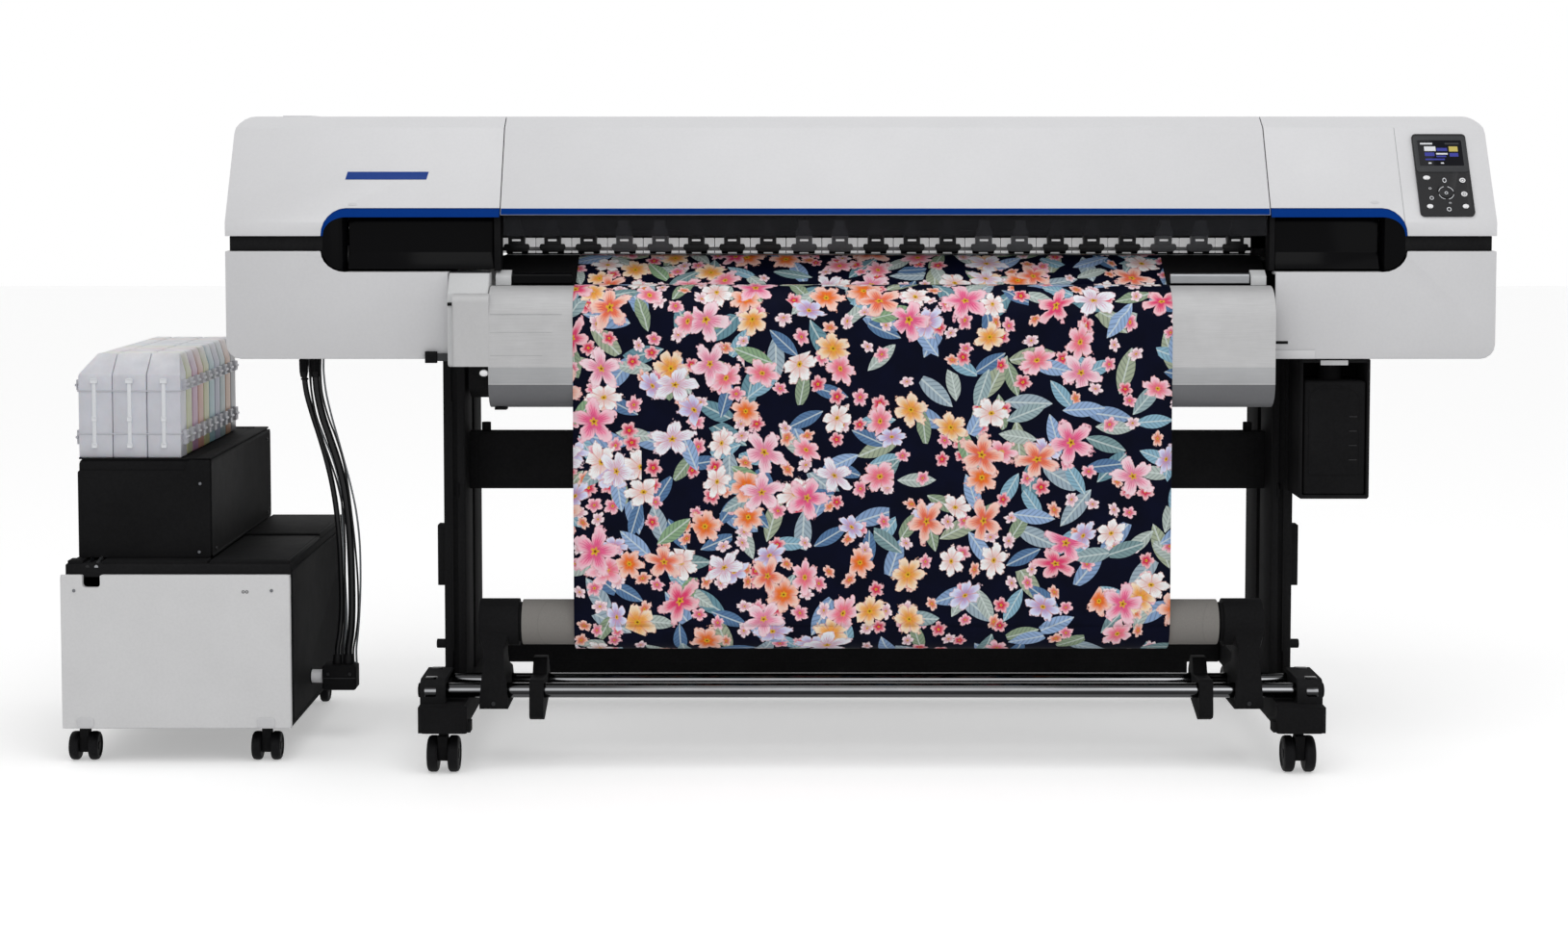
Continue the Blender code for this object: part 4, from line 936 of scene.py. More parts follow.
def addCoverTrim(looks):
    low, high = trimLook["plateZ"]
    left, right = trimLook["plateX"]
    lean = trimLook["lean"]
    corners = [(left, low), (right, low), (right + lean, high), (left + lean, high)]
    plate = outline("name_plate", corners, "XZ", -.01, .01)
    followSlope(plate, trimLook["rise"], -.0001)
    finish(plate, .0003, looks["navy"])
    for name, x, z in trimLook["dots"]:
        dot = outline(name, oval((x, z), .018, .006), "XZ", -.01, .01)
        followSlope(dot, .0009, -.0001)
        finish(dot, .0004, looks["grey"])
    # low raised pad on the top and the seam of the end cap
    pad = block("top_pad", *trimLook["pad"])
    finish(pad, .0012, looks["white"], 3)
    (left, right), (low, high) = trimLook["seamX"], trimLook["seamZ"]
    corners = [(left, low), (right, low), (right, high), (left, high)]
    seam = outline("end_cap_seam", corners, "XZ", -.01, .01)
    followSlope(seam, .00015, -.0001)
    dress(seam, looks["seam"], "root")
    for name, x in trimLook["posts"]:
        post = block(name, x, (-.3400, -.2900), (1.0290, 1.1565))
        finish(post, .0010, looks["black"])
    for name, x, z in trimLook["baffles"]:
        baffle = block(name, x, (.150, .153), z)
        insetFaces(baffle, lambda c, n: n.y < -.9, .02, -.001)
        finish(baffle, .0006, looks["black"])


def roundedPoly(points, radius, steps=4):    # an outline with its corners rounded
    result = []
    for k, point in enumerate(points):
        here, before, after = Vector(point), Vector(points[k - 1]), Vector(points[(k + 1) % len(points)])
        start = here + (before - here).normalized() * radius
        end = here + (after - here).normalized() * radius
        for s in range(steps + 1):
            t = s / steps
            result.append(tuple((1 - t) ** 2 * start + 2 * t * (1 - t) * here + t * t * end))
    return result


# pressure rollers: a row of tiles, the bar above it and one sprung arm over each roller
pressLook = {"first": -.550, "pitch": .0764, "count": 21, "tile": (.0745, .006), "tileZ": (1.0582, 1.0902),
             "tileFront": -.1375, "armHalf": .0175, "armY": (-.1700, -.1460), "housingBack": -.1618,
             "rollerRadius": .0105, "shaftRadius": .004}


def pressArm(name):    # one arm at the first place and its roller housing
    x = pressLook["first"]
    half = pressLook["armHalf"]
    front, back = pressLook["armY"]
    neck = half * .62
    shape = [(x - half, 1.0840), (x + half, 1.0840), (x + half, 1.1080), (x + neck, 1.1160),
             (x + neck, 1.1290), (x - neck, 1.1290), (x - neck, 1.1160), (x - half, 1.1080)]
    plate = outline(name, roundedPoly(shape, .0028), "XZ", front, back)
    insetFaces(plate, lambda c, n: n.y < -.9, .0035, -.0014)
    shape = [(x - .0280, 1.0700), (x - .0215, 1.0625), (x + .0215, 1.0625), (x + .0280, 1.0700),
             (x + .0260, 1.0785), (x - .0260, 1.0785)]
    housing = outline(name + "_housing", roundedPoly(shape, .0032), "XZ", front, pressLook["housingBack"])
    parts = [soften(plate, .0010, 2), soften(housing, .0012, 2)]
    link = block(name + "_neck", (x - half, x + half), (front + .0010, back - .0020), (1.0740, 1.0860))
    parts.append(soften(link, .0010, 2))
    return joined(name, parts)


def addPressRow(looks):
    first, pitch, count = pressLook["first"], pressLook["pitch"], pressLook["count"]
    wide, deep = pressLook["tile"]
    tileFront = pressLook["tileFront"]
    tiles = []
    for k in range(count):
        x = first + k * pitch
        tile = block("tile_" + str(k), (x - wide / 2, x + wide / 2), (tileFront, tileFront + deep),
                     pressLook["tileZ"])
        tiles.append(soften(tile, .0009, 2))
    row = joined("tile_row", tiles)
    # the tile row's finish glows: painted light
    dress(row, looks["tile"], "root")
    section = [(-.1378, 1.0915), (-.1300, 1.0915), (-.1300, 1.0590), (-.1215, 1.0590), (-.1215, 1.0960),
               (-.0625, 1.0960), (-.0625, 1.1078), (-.1378, 1.1078)]
    bar = outline("roller_bar_shell", section, "YZ", -.575, 1.018)
    dress(soften(bar, .0008, 2), looks["black"], "root", ["roller_bar"])
    arm = pressArm("press_arm")
    for k in range(count):
        twin = copyAt(arm, (k * pitch, 0, 0), "press_arm_" + str(k + 1))
        dress(twin, looks["armGrey" if k % 5 in (3, 4) else "arm"], "root")
        x = first + k * pitch
        # a pale glowing bar in front of each arm's slot: a painted highlight
        slotHighlight = block("press_slot_highlight_" + str(k + 1), (x - .0090, x + .0090), (-.1726, -.1685), (1.0845, 1.0885))
        finish(slotHighlight, .0006, looks["tile"])
    bpy.data.objects.remove(arm)
    low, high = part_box("pressure_rollers")
    y, z = (low.y + high.y) / 2, (low.z + high.z) / 2
    radius, shaft = pressLook["rollerRadius"], pressLook["shaftRadius"]
    profile = [(low.x, 0), (low.x, shaft)]
    for k in range(count):
        x = first + k * pitch
        profile += [(x - .0230, shaft), (x - .0230, radius * .80), (x - .0215, radius), (x - .0100, radius),
                    (x - .0092, radius * .70), (x + .0092, radius * .70), (x + .0100, radius),
                    (x + .0215, radius), (x + .0230, radius * .80), (x + .0230, shaft)]
    profile += [(high.x, shaft), (high.x, 0)]
    rollers = spun("pressure_roller_row", profile, y, z, 32)
    dress(rollers, looks["rubber"], "pressure_rollers", ["pressure_rollers"])
    rollers.data.materials.append(looks["cream"])    # the bare shaft between the rollers
    for face in rollers.data.polygons:
        if (math.hypot(face.center.y - y, face.center.z - z) < shaft + .0002 and abs(face.normal.x) < .5
                and first < face.center.x < first + (count - 1) * pitch):
            face.material_index = 1


# guide, platen edge and the block at their left end
guideLook = {"front": -.4325, "stripZ": (.8030, .8360), "stripX": (-.5828, 1.0178),
             "lines": (.9440, .9070, .8600), "undersideZ": .8005, "undersideY": -.352,
             # the left bar is the same steel part as the right one; its gloss black is a painted dark
             # reflection
             "bars": (("left_edge_bar", (-.5400, -.4180), "gloss"),
                      ("right_edge_bar", (.8150, .9780), "steel")),
             "brackets": (("left_edge_bracket", (-.5760, -.5440)), ("right_edge_bracket", (.9810, 1.0130)))}


def addGuideTrim(looks):
    shell = bpy.data.objects["media_guide_shell"]
    # the guide's low and rear faces take the darker grey: painted shade
    shell.data.materials.append(looks["paintedShade"])
    for face in shell.data.polygons:
        if face.center.z < guideLook["undersideZ"] or face.center.y > guideLook["undersideY"]:
            face.material_index = 1
    x0, x1 = guideLook["stripX"]
    strip = block("heater_strip", (x0, x1), (guideLook["front"] - .0006, guideLook["front"] + .0002),
                  guideLook["stripZ"])
    finish(strip, .0002, looks["strip"])
    for k, z in enumerate(guideLook["lines"]):
        crease = block("guide_crease_" + str(k + 1), (x0 + .004, x0 + .150 - k * .02),
                       (guideLook["front"] - .00025, guideLook["front"] + .0001), (z, z + .0007))
        finish(crease, .0001, looks["strip"])
    foot = block("guide_foot", (-.574, -.549), (-.400, -.372), (.7465, .7520))
    finish(foot, .001, looks["black"])
    for name, x, look in guideLook["bars"]:
        bar = block(name, x, (-.3440, -.3270), (1.0030, 1.0240))
        roundEdges(bar, lambda c, d: abs(d.x) > .05 and c.z > 1.02, .0075, 6)
        finish(bar, .0010, looks[look])
    for name, x in guideLook["brackets"]:
        bracket = outline(name, [(-.3450, .9988), (-.3300, 1.0040), (-.3180, 1.0290), (-.3240, 1.0300),
                                 (-.3450, 1.0180)], "YZ", *x)
        finish(bracket, .0010, looks["block"])


blockLook = {"panelX": (-.6560, -.5815), "panelZ": (.8375, .9850),
             "boxes": (("block_latch", (-.6690, -.6575), (-.4040, -.3995), (.9600, .9665), "black"),
                       ("case_bracket_dark", (-.7200, -.6950), (-.3690, -.3605), (.8400, .8640), "black"),
                       ("case_bracket_grey", (-.6945, -.6705), (-.3680, -.3605), (.8440, .8600), "frameGrey"),
                       ("case_slot_right", (1.0300, 1.0560), (-.3612, -.3600), (.8790, .8850), "black"),
                       ("case_step_right", (1.0300, 1.1120), (-.3640, -.3602), (.8485, .8660), "grey"),
                       ("block_top_slope", (-.6690, -.5860), (-.3665, -.3400), (1.0262, 1.0275), "slope")),
             "knobs": (("block_knob", (-.5925, -.4200, .8240)), ("case_knob_right", (1.0190, -.3600, .9600))),
             "knobReach": .014, "knobRadii": (.0085, .0070)}


def addSideBlock(looks):
    pillow = block("side_block_panel", blockLook["panelX"], (-.4329, -.4003), blockLook["panelZ"])
    roundEdges(pillow, lambda c, d: abs(d.x) > .01 and c.y < -.42 and c.z > .9, .018, 7)
    roundEdges(pillow, lambda c, d: abs(d.z) > .05 and c.y < -.42 and c.x < -.65, .009, 6)
    soften(pillow, .0004, 2)
    dress(pillow, looks["sheetGrey"], "root")
    for name, x, y, z, look in blockLook["boxes"]:
        piece = block(name, x, y, z)
        dress(soften(piece, min(.0012, (z[1] - z[0]) * .2), 2), looks[look], "root")
    wide, narrow = blockLook["knobRadii"]
    for name, place in blockLook["knobs"]:
        start = Vector(place)
        knob = rod(name, start, start + Vector((0, -blockLook["knobReach"], 0)), wide, 28, narrow)
        knob.data.transform(Matrix.Translation(start) @ Matrix.Diagonal((1.15, 1, .85, 1))
                            @ Matrix.Translation(-start))
        finish(knob, .0030, looks["keycap"], 4)


# wound medium on its paper core, and the fresh roll at the back
rollLook = {"cores": {"takeup": ((-.520, .911), .0465), "supply": ((-.4995, .8965), .0200)},    # ends, radius
            "takeupBore": .0380, "endGap": .0006}


def woundRoll(name, low, high, radius, inner, y, z, look, body, start, stands):
    profile = [(low, inner), (low, radius - .0012), (low + .0012, radius), (high - .0012, radius),
               (high, radius - .0012), (high, inner), (low, inner)]
    roll = spun(name, profile, y, z, 96)
    layers = roll.data.uv_layers
    uv = (layers.active or layers.new(name="UVMap")).data
    for face in roll.data.polygons:
        angles = {}
        for loop in face.loop_indices:
            co = roll.data.vertices[roll.data.loops[loop].vertex_index].co
            angles[loop] = math.atan2(co.z - z, y - co.y)
        turn = max(angles.values()) - min(angles.values()) > math.pi
        for loop in face.loop_indices:
            co = roll.data.vertices[roll.data.loops[loop].vertex_index].co
            angle = angles[loop] + (math.tau if turn and angles[loop] < 0 else 0)
            away = math.hypot(co.y - y, co.z - z)
            if away > radius - .003:
                uv[loop].uv = (co.x - low, start - angle * radius)
            else:
                uv[loop].uv = (away * .02, .5 + angle * .01)
    return dress(roll, look, body, stands)


def addRolls(looks):
    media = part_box("media_web")
    for name, ((x0, x1), coreRadius) in rollLook["cores"].items():
        body = name + "_roll"
        low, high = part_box(body)
        y, z = (low.y + high.y) / 2, (low.z + high.z) / 2
        wound = (high.z - low.z) / 2
        if name == "takeup":
            coreBore = rollLook["takeupBore"]
            profile = [(x0, coreBore), (x0, coreRadius - .0008), (x0 + .0008, coreRadius),
                       (x1 - .0008, coreRadius), (x1, coreRadius - .0008), (x1, coreBore), (x0, coreBore)]
            core = spun("takeup_core", profile, y, z, 80)
            dress(core, looks["card"], body)
        else:
            profile = [(x0, 0), (x0, coreRadius * .8), (x0 + .003, coreRadius), (-.416, coreRadius),
                       (-.416, .046), (-.4135, .048), (.8105, .048), (.813, .046), (.813, coreRadius),
                       (x1 - .003, coreRadius), (x1, coreRadius * .8), (x1, 0)]
            core = spun("supply_spindle", profile, y, z, 64)
            dress(core, looks["steel"], body)
        woundRoll(name + "_wound", media[0].x, media[1].x, wound, coreRadius + rollLook["endGap"], y, z,
                  looks["print"] if name == "takeup" else looks["plainRoll"], body, webLength(), [body])


# casters: two moulded wheels on an axle under a hooded fork
wheelLook = {"inner": .0105, "edge": .0045}


def twinWheel(part, look, hubLook):
    low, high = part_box(part)
    x, y, z = [(a + b) / 2 for a, b in zip(low, high)]
    radius, half = (high.z - low.z) / 2, (high.x - low.x) / 2
    inner, edge = wheelLook["inner"], wheelLook["edge"]
    for side in (-1, 1):
        steps = [(inner, .0045), (inner, radius * .88), (inner + .002, radius * .96), (inner + edge, radius),
                 (half - edge * 1.6, radius), (half - edge * .5, radius * .95), (half, radius * .84),
                 (half, radius * .70), (half - .0022, radius * .66), (half - .0022, radius * .30),
                 (half - .0005, radius * .26), (half - .0005, 0)]
        profile = [(x + side * across, away) for across, away in steps]
        name = part + ("_a" if side < 0 else "_b")
        wheel = spun(name, profile, y, z, 48)
        dress(wheel, look, part, [part] if side < 0 else ())
    axle = rod(part + "_axle", (x - inner - .001, y, z), (x + inner + .001, y, z), .0042, 24)
    dress(soften(axle, .0004, 2), hubLook, part)


def addCasters(looks):
    for end in ("front", "rear"):
        for side in ("left", "right"):
            tag = end + "_" + side
            twinWheel("caster_wheel_" + tag, looks["tyre"], looks["steel"])
            twinWheel("cabinet_wheel_" + tag, looks["tyre"], looks["steel"])
            refine("caster_fork_" + tag, looks["black"], .0016, 3)
            low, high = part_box("caster_fork_" + tag)
            x, y = (low.x + high.x) / 2, (-.425 if end == "front" else .340)
            collar = ring("caster_collar_" + tag, (x, y, high.z - .0045), .0115, .0028, "Z", 32)
            dress(smooth(collar), looks["pin"], "caster_fork_" + tag)


addStripes(looks)
addCoverTrim(looks)
print("covers trimmed")
addPressRow(looks)
print("pressure rollers made")
addGuideTrim(looks)
addSideBlock(looks)
print("guide and side block made")
addRolls(looks)
addCasters(looks)
print("rolls and casters made")


# control panel: keys, display and ring, all laid on its sloping face
panelLook = {"face": .0063, "corner": .0085,
             # left, right, low and high as shares of the display
             "bars": ((.06, .34, .84, .90, "mark"), (.62, .94, .84, .90, "frameGrey"),
                      (.14, .40, .58, .76, "mark"), (.42, .66, .58, .70, "screenBlue"),
                      (.70, .90, .56, .76, "screenGold"), (.14, .36, .38, .52, "screenBlue"),
                      (.40, .66, .44, .50, "mark"), (.40, .62, .34, .40, "screenBlue"),
                      (.70, .90, .36, .50, "screenBlue"), (.14, .58, .22, .28, "screenBlue"),
                      (.20, .27, .08, .13, "mark"), (.48, .55, .08, .13, "mark")),
             "keys": (("cancel_key", (1.4208, 1.2150), (.0125, .0095)),
                      ("pause_key", (1.4210, 1.1870), (.0125, .0100))),
             "marks": (((1.3838, 1.2150), (.0080, .0100)), ((1.3520, 1.1985), (.0060, .0040)),
                       ((1.3530, 1.1790), (.0085, .0075)), ((1.3900, 1.1690), (.0050, .0030)),
                       ((1.3860, 1.1560), (.0095, .0085))),
             "dots": (("power_dot", (1.3475, 1.2170)), ("back_dot", (1.3475, 1.1585)),
                      ("feed_dot", (1.4210, 1.1585))),
             "onKeys": -.0011,    # how far the marks on the keys reach below the panel's face
             "frame": ((1.3285, 1.4375), (1.2320, 1.3065)), "frameRise": .0012,
             "glass": ((1.3370, 1.4285), (1.2450, 1.2975)), "glassRise": .0007,
             "ringCentre": (1.3840, 1.1893), "ringSize": (.0320, .0270), "keyRise": .0012}


# a flat piece on the panel's face
def onPanel(name, points, look, rise, hollow=None, below=.0002, round=.0003):
    piece = outline(name, points, "XZ", -.01, .01, hollow)
    followSlope(piece, panelLook["face"] * coverLook["out"] + rise * coverLook["out"],
                -(panelLook["face"] - below) * coverLook["out"])
    if round:
        soften(piece, round, 2)
    return dress(piece, look, "root")


def addControlPanel(looks):
    lean = Vector((0, -math.cos(coverLook["tilt"]), math.sin(coverLook["tilt"])))
    low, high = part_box("control_panel")
    refine("control_panel", looks["panel"], .0006,
           corners=(panelLook["corner"], lambda c, d: d.length > .002 and abs(d.normalized().dot(lean)) > .99
                    and min(c.x - low.x, high.x - c.x) < .003))
    for key, look in (("power_button", "keycap"), ("back_button", "keycap"), ("feed_button", "keycap"),
                      ("pad_button", "panel")):
        refine(key, looks[look], .0005, 3)
    x, z = panelLook["frame"]
    glassX, glassZ = panelLook["glass"]
    onPanel("display_frame", roundedBox(x, z, .0070), looks["frameGrey"], panelLook["frameRise"],
            roundedBox(glassX, glassZ, .0020))
    onPanel("display_glass", roundedBox(glassX, glassZ, .0018), looks["lcd"], panelLook["glassRise"])
    # plain bars and boxes that stand for what the display shows
    rise = panelLook["glassRise"] + .0001
    width, height = glassX[1] - glassX[0], glassZ[1] - glassZ[0]
    for k, (left, right, low, high, look) in enumerate(panelLook["bars"]):
        box = ((glassX[0] + left * width, glassX[0] + right * width),
               (glassZ[0] + low * height, glassZ[0] + high * height))
        onPanel("display_bar_" + str(k + 1), roundedBox(*box, .0005, 2), looks[look], rise, round=0)
    # ring of four arcs round the pad, its centre dot, and the keys that are printed
    x, z = panelLook["ringCentre"]
    wide, tall = panelLook["ringSize"]
    for k in range(4):
        angles = [math.radians(90 * k + 14 + 62 * step / 10) for step in range(11)]
        outer = [(x + wide / 2 * math.cos(a), z + tall / 2 * math.sin(a)) for a in angles]
        inner = [(x + (wide / 2 - .0010) * math.cos(a), z + (tall / 2 - .0010) * math.sin(a)) for a in angles]
        arcMark = onPanel("pad_ring_" + str(k + 1), outer + inner[::-1], looks["mark"], .0013, round=0,
                          below=panelLook["onKeys"])
        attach(arcMark, "pad_button")
    lift = panelLook["keyRise"]
    for name, place, (wide, tall) in panelLook["keys"]:
        onPanel(name, oval(place, wide, tall, 28), looks["keycap"], lift)
        onPanel(name + "_face", oval(place, wide * .62, tall * .55, 20), looks["panel"], lift + .0002,
                round=0)
        onPanel(name + "_core", oval(place, wide * .40, tall * .32, 20), looks["keycap"], lift + .0004,
                round=0)
    for k, (place, size) in enumerate(panelLook["marks"]):
        onPanel("key_mark_" + str(k + 1), oval(place, *size, 16), looks["mark"], .0002,
                oval(place, size[0] * .68, size[1] * .68, 16), round=0)
    for name, place in panelLook["dots"]:
        dot = onPanel(name, oval(place, .0034, .0026, 16), looks["seam"], .0014, round=0,
                      below=panelLook["onKeys"])
        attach(dot, name.replace("dot", "button"))
    dot = onPanel("pad_dot", oval(panelLook["ringCentre"], .0070, .0058, 20), looks["mark"], .0014,
                  oval(panelLook["ringCentre"], .0046, .0036, 20), round=0, below=panelLook["onKeys"])
    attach(dot, "pad_button")


# ink tanks: ten rows of three bottles, with ribs round them and clasps on both sides
tankLook = {"rows": 10, "columns": 3, "pitch": .057, "gap": .0012, "shoulder": .809, "slopeIn": (.030, .012),
            "slopeBack": .050, "ribs": (.7747, .6847), "ribHalf": .0016,
            "clasps": ((.7860, .022), (.6760, .030)), "claspHalf": .0120, "pinHalf": .0150,
            "pinRadius": .0032,
            "strapHalf": .0042, "strapZ": (.6560, .8020),
            "strapPads": ((.7960, .0080), (.7160, .0055), (.6600, .0060)),
            "inks": ("dedfe7", "d3d6a6", "c48fb4", "d99a84", "cfd094", "9cc6cf", "a8aec6", "9cb0b2", "c79a7a",
                     "8a8a90"), "level": .838}


def tankRow(name, low, high, y0, y1, front):
    columns, gap = tankLook["columns"], tankLook["gap"]
    wide = (high.x - low.x) / columns
    top, shoulder = high.z - .0015, tankLook["shoulder"]
    leftIn, rightIn = tankLook["slopeIn"]
    parts = []
    for c in range(columns):
        x0, x1 = low.x + c * wide + gap / 2, low.x + (c + 1) * wide - gap / 2
        left = [(x0 + leftIn, top), (x0, shoulder)] if c == 0 else [(x0, top)]
        right = [(x1, shoulder), (x1 - rightIn, top)] if c == columns - 1 else [(x1, top)]
        column = outline(name, [(x0, low.z + .0008), (x1, low.z + .0008)] + right + left, "XZ", y0, y1)
        if front:
            cutLine(column, (0, 0, shoulder), (0, 0, 1))
            moveVerts(column, lambda c, n: c.z > shoulder + .006 and c.y < y0 + .002,
                      (0, tankLook["slopeBack"], 0))
        parts.append(soften(column, .0052, 3, 24))
    return joined(name, parts)


def addTanks(looks):
    low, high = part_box("ink_tanks")
    ribHalf, claspHalf, pinHalf = tankLook["ribHalf"], tankLook["claspHalf"], tankLook["pinHalf"]
    for k in range(tankLook["rows"]):
        y0 = low.y + k * tankLook["pitch"]
        y1 = min(y0 + tankLook["pitch"] - tankLook["gap"], high.y)
        tag = str(k + 1)
        look = tankPlastic("tank_plastic_" + tag, tankLook["inks"][k], tankLook["level"])
        tank = tankRow("ink_tank_" + tag, low, high, y0, y1, k == 0)
        dress(tank, look, "root", ["ink_tanks"] if k == 0 else ())
        trims = []
        for z in tankLook["ribs"]:
            rib = block("tank_rib", (low.x - ribHalf, high.x + ribHalf),
                        (y0 - (ribHalf if k == 0 else 0), y1), (z - ribHalf, z + ribHalf))
            trims.append(soften(rib, .0007, 2))
        for side in (-1, 1):
            edge = low.x if side < 0 else high.x
            for z, tall in tankLook["clasps"]:
                middle = (y0 + y1) / 2
                spanX = sorted((edge - side * .001, edge + side * .0075))
                clasp = block("tank_clasp", spanX, (middle - claspHalf, middle + claspHalf),
                              (z - tall / 2, z + tall / 2))
                insetFaces(clasp, lambda c, n: abs(n.x) > .9, .0028, -.0012)
                trims.append(soften(clasp, .0012, 2))
                x = edge + side * .0070
                pin = rod("tank_pin", (x, middle - pinHalf, z), (x, middle + pinHalf, z),
                          tankLook["pinRadius"], 14)
                trims.append(soften(pin, .0008, 2))
        dress(joined("tank_fittings_" + tag, trims), looks["fitting"], "root")
    addTankStraps(looks, low, high)


def addTankStraps(looks, low, high):    # pale straps down the front of the first row
    wide = (high.x - low.x) / tankLook["columns"]
    half, (bottom, top) = tankLook["strapHalf"], tankLook["strapZ"]
    for c in range(tankLook["columns"]):
        x = low.x + (c + .5) * wide - (.002 if c == 0 else 0)
        strap = block("strap", (x - half, x + half), (low.y - .0024, low.y + .001), (bottom, top))
        parts = [soften(strap, .0010, 2)]
        for z, across in tankLook["strapPads"]:
            pad = block("strap_pad", (x - across, x + across), (low.y - .0040, low.y), (z - .0050, z + .0050))
            insetFaces(pad, lambda c, n: n.y < -.9, .0016, -.0010)
            parts.append(soften(pad, .0010, 2))
        slope = block("strap_slope", (x - half, x + half), (low.y + .004, low.y + .058), (.8092, .8108))
        turnAbout(slope, (x, low.y + .004, .8092), math.atan2(high.z - .0015 - tankLook["shoulder"],
                                                              tankLook["slopeBack"]))
        parts.append(soften(slope, .0007, 2))
        dress(joined("tank_strap_" + str(c + 1), parts), looks["mark"], "root")


# cabinet and tray fittings
cabinetLook = {"frontCorner": .0075, "lidTop": .4262, "lidBottom": .4180, "lidGap": .004,
               "screwRadius": .0040, "frontScrews": ((-1.4545, .3655), (-1.0445, .3655)),
               "trayScrews": ((-1.2050, .4380), (-1.2015, .5820)), "eyes": (-1.1030, -1.0955),
               "tabs": ((-1.4525, -1.4165), (-1.0780, -1.0400)), "tabZ": (.0775, .0990),
               "pipes": (-1.4280, -1.4100), "clips": (.3450, .2550, .1650),
               "rearScrews": ((-1.440, .110), (-1.440, .385), (-1.042, .110), (-1.042, .385)),
               "sideShape": [(-.3300, .0850), (.3500, .0850), (.3500, .3650), (.3000, .4060),
                             (-.3300, .4060)],
               "leftShape": [(-.3300, .0850), (.3500, .0850), (.3500, .4060), (-.3300, .4060)]}


def screwHead(name, place, facing, radius, look, body="root"):    # a domed head with a cross cut into it
    place, facing = Vector(place), Vector(facing)
    head = rod(name, place - facing * .001, place + facing * radius * .45, radius, 20, radius * .72)
    choose(head, lambda c, n: n.dot(facing) > .9)
    bpy.ops.mesh.inset(thickness=radius * .34, depth=0)
    bpy.ops.mesh.inset(thickness=.0001, depth=-radius * .3)
    leave()
    return dress(soften(head, radius * .08, 2), look, body)


def addCabinet(looks):
    refine("cabinet_front", looks["cream"], .0020,
           corners=(cabinetLook["frontCorner"], lambda c, d: abs(d.y) > .99 * d.length))
    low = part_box("cabinet_front")[0]
    tray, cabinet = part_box("tank_tray"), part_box("ink_cabinet")
    size = cabinetLook["screwRadius"]
    places = [(x, low.y, z) for x, z in cabinetLook["frontScrews"]]
    places += [(x, tray[0].y - .0036, z) for x, z in cabinetLook["trayScrews"]]
    for k, place in enumerate(places):
        screwHead("front_screw_" + str(k + 1), place, (0, -1, 0), size, looks["screw"])
    for k, x in enumerate(cabinetLook["eyes"]):
        eye = ring("front_eye_" + str(k + 1), (x, low.y - .0002, .3630), .0026, .0007, "Y", 24)
        dress(smooth(eye), looks["frameGrey"], "root")
    for k, x in enumerate(cabinetLook["tabs"]):
        tab = outline("front_tab_" + str(k + 1), roundedBox(x, cabinetLook["tabZ"], .0070), "XZ",
                      low.y - .0022, low.y + .0005)
        finish(tab, .0009, looks["grey"])
    # lids on the cabinet, in front of the tray and beside it
    top, gap = cabinetLook["lidTop"], cabinetLook["lidGap"]
    for name, x, y, rise in (
            ("lid_front_left", (cabinet[0].x + .005, -1.4395), (cabinet[0].y + .002, tray[0].y - .006), 0),
            ("lid_front", (-1.3975, tray[1].x + .001), (cabinet[0].y + .002, tray[0].y - .006), 0),
            ("lid_side", (tray[1].x + .003 + gap, cabinet[1].x - .003), (cabinet[0].y + .002, .0300), 0),
            ("lid_rear", (tray[1].x + .003 + gap, cabinet[1].x - .003), (.0340, cabinet[1].y - .004), .0035)):
        lid = block(name, x, y, (cabinetLook["lidBottom"], top + rise))
        insetFaces(lid, lambda c, n: n.z > .9, .006, .0008)
        finish(lid, .0016, looks["black"], 3)
    for k, x in enumerate(cabinetLook["pipes"]):
        pipe = rod("notch_pipe_" + str(k + 1), (x, -.3400, .4130), (x, -.2960, .4250), .0042, 20)
        finish(pipe, .0006, looks["steel" if k else "hose"])
    # side panel, its seams and clips
    side = outline("cabinet_side_panel", roundedPoly(cabinetLook["sideShape"], .008), "YZ",
                   cabinet[1].x - .0004, cabinet[1].x + .0020)
    insetFaces(side, lambda c, n: n.x > .9, .004, -.0008)
    finish(side, .0007, looks["powder"])
    for k, z in enumerate(cabinetLook["clips"]):
        clip = block("side_clip_" + str(k + 1), (cabinet[1].x - .001, cabinet[1].x + .0034), (-.3380, -.3290),
                     (z - .006, z + .006))
        finish(clip, .0009, looks["black"])
    left = outline("cabinet_left_panel", roundedPoly(cabinetLook["leftShape"], .008), "YZ",
                   cabinet[0].x - .0016, cabinet[0].x + .0004)
    insetFaces(left, lambda c, n: n.x < -.9, .004, -.0006)
    finish(left, .0006, looks["powder"])
    shape = roundedBox((cabinet[0].x + .014, cabinet[1].x - .014), (.0900, .4040), .010)
    rear = outline("cabinet_rear_panel", shape, "XZ", cabinet[1].y - .0004, cabinet[1].y + .0022)
    insetFaces(rear, lambda c, n: n.y > .9, .005, -.0008)
    finish(rear, .0007, looks["powder"])
    for k, (x, z) in enumerate(cabinetLook["rearScrews"]):
        screwHead("rear_screw_" + str(k + 1), (x, cabinet[1].y + .0020, z), (0, 1, 0), size,
                  looks["darkScrew"])


# step is the top of the tray's front wall, which is lower than its side walls; notchX is where it rises
trayLook = {"step": .6095, "notchX": (-1.2340, -1.2260), "screwRadius": .0038,
            "screws": ((-.2500, .4400), (.3200, .4400), (.3200, .6100))}


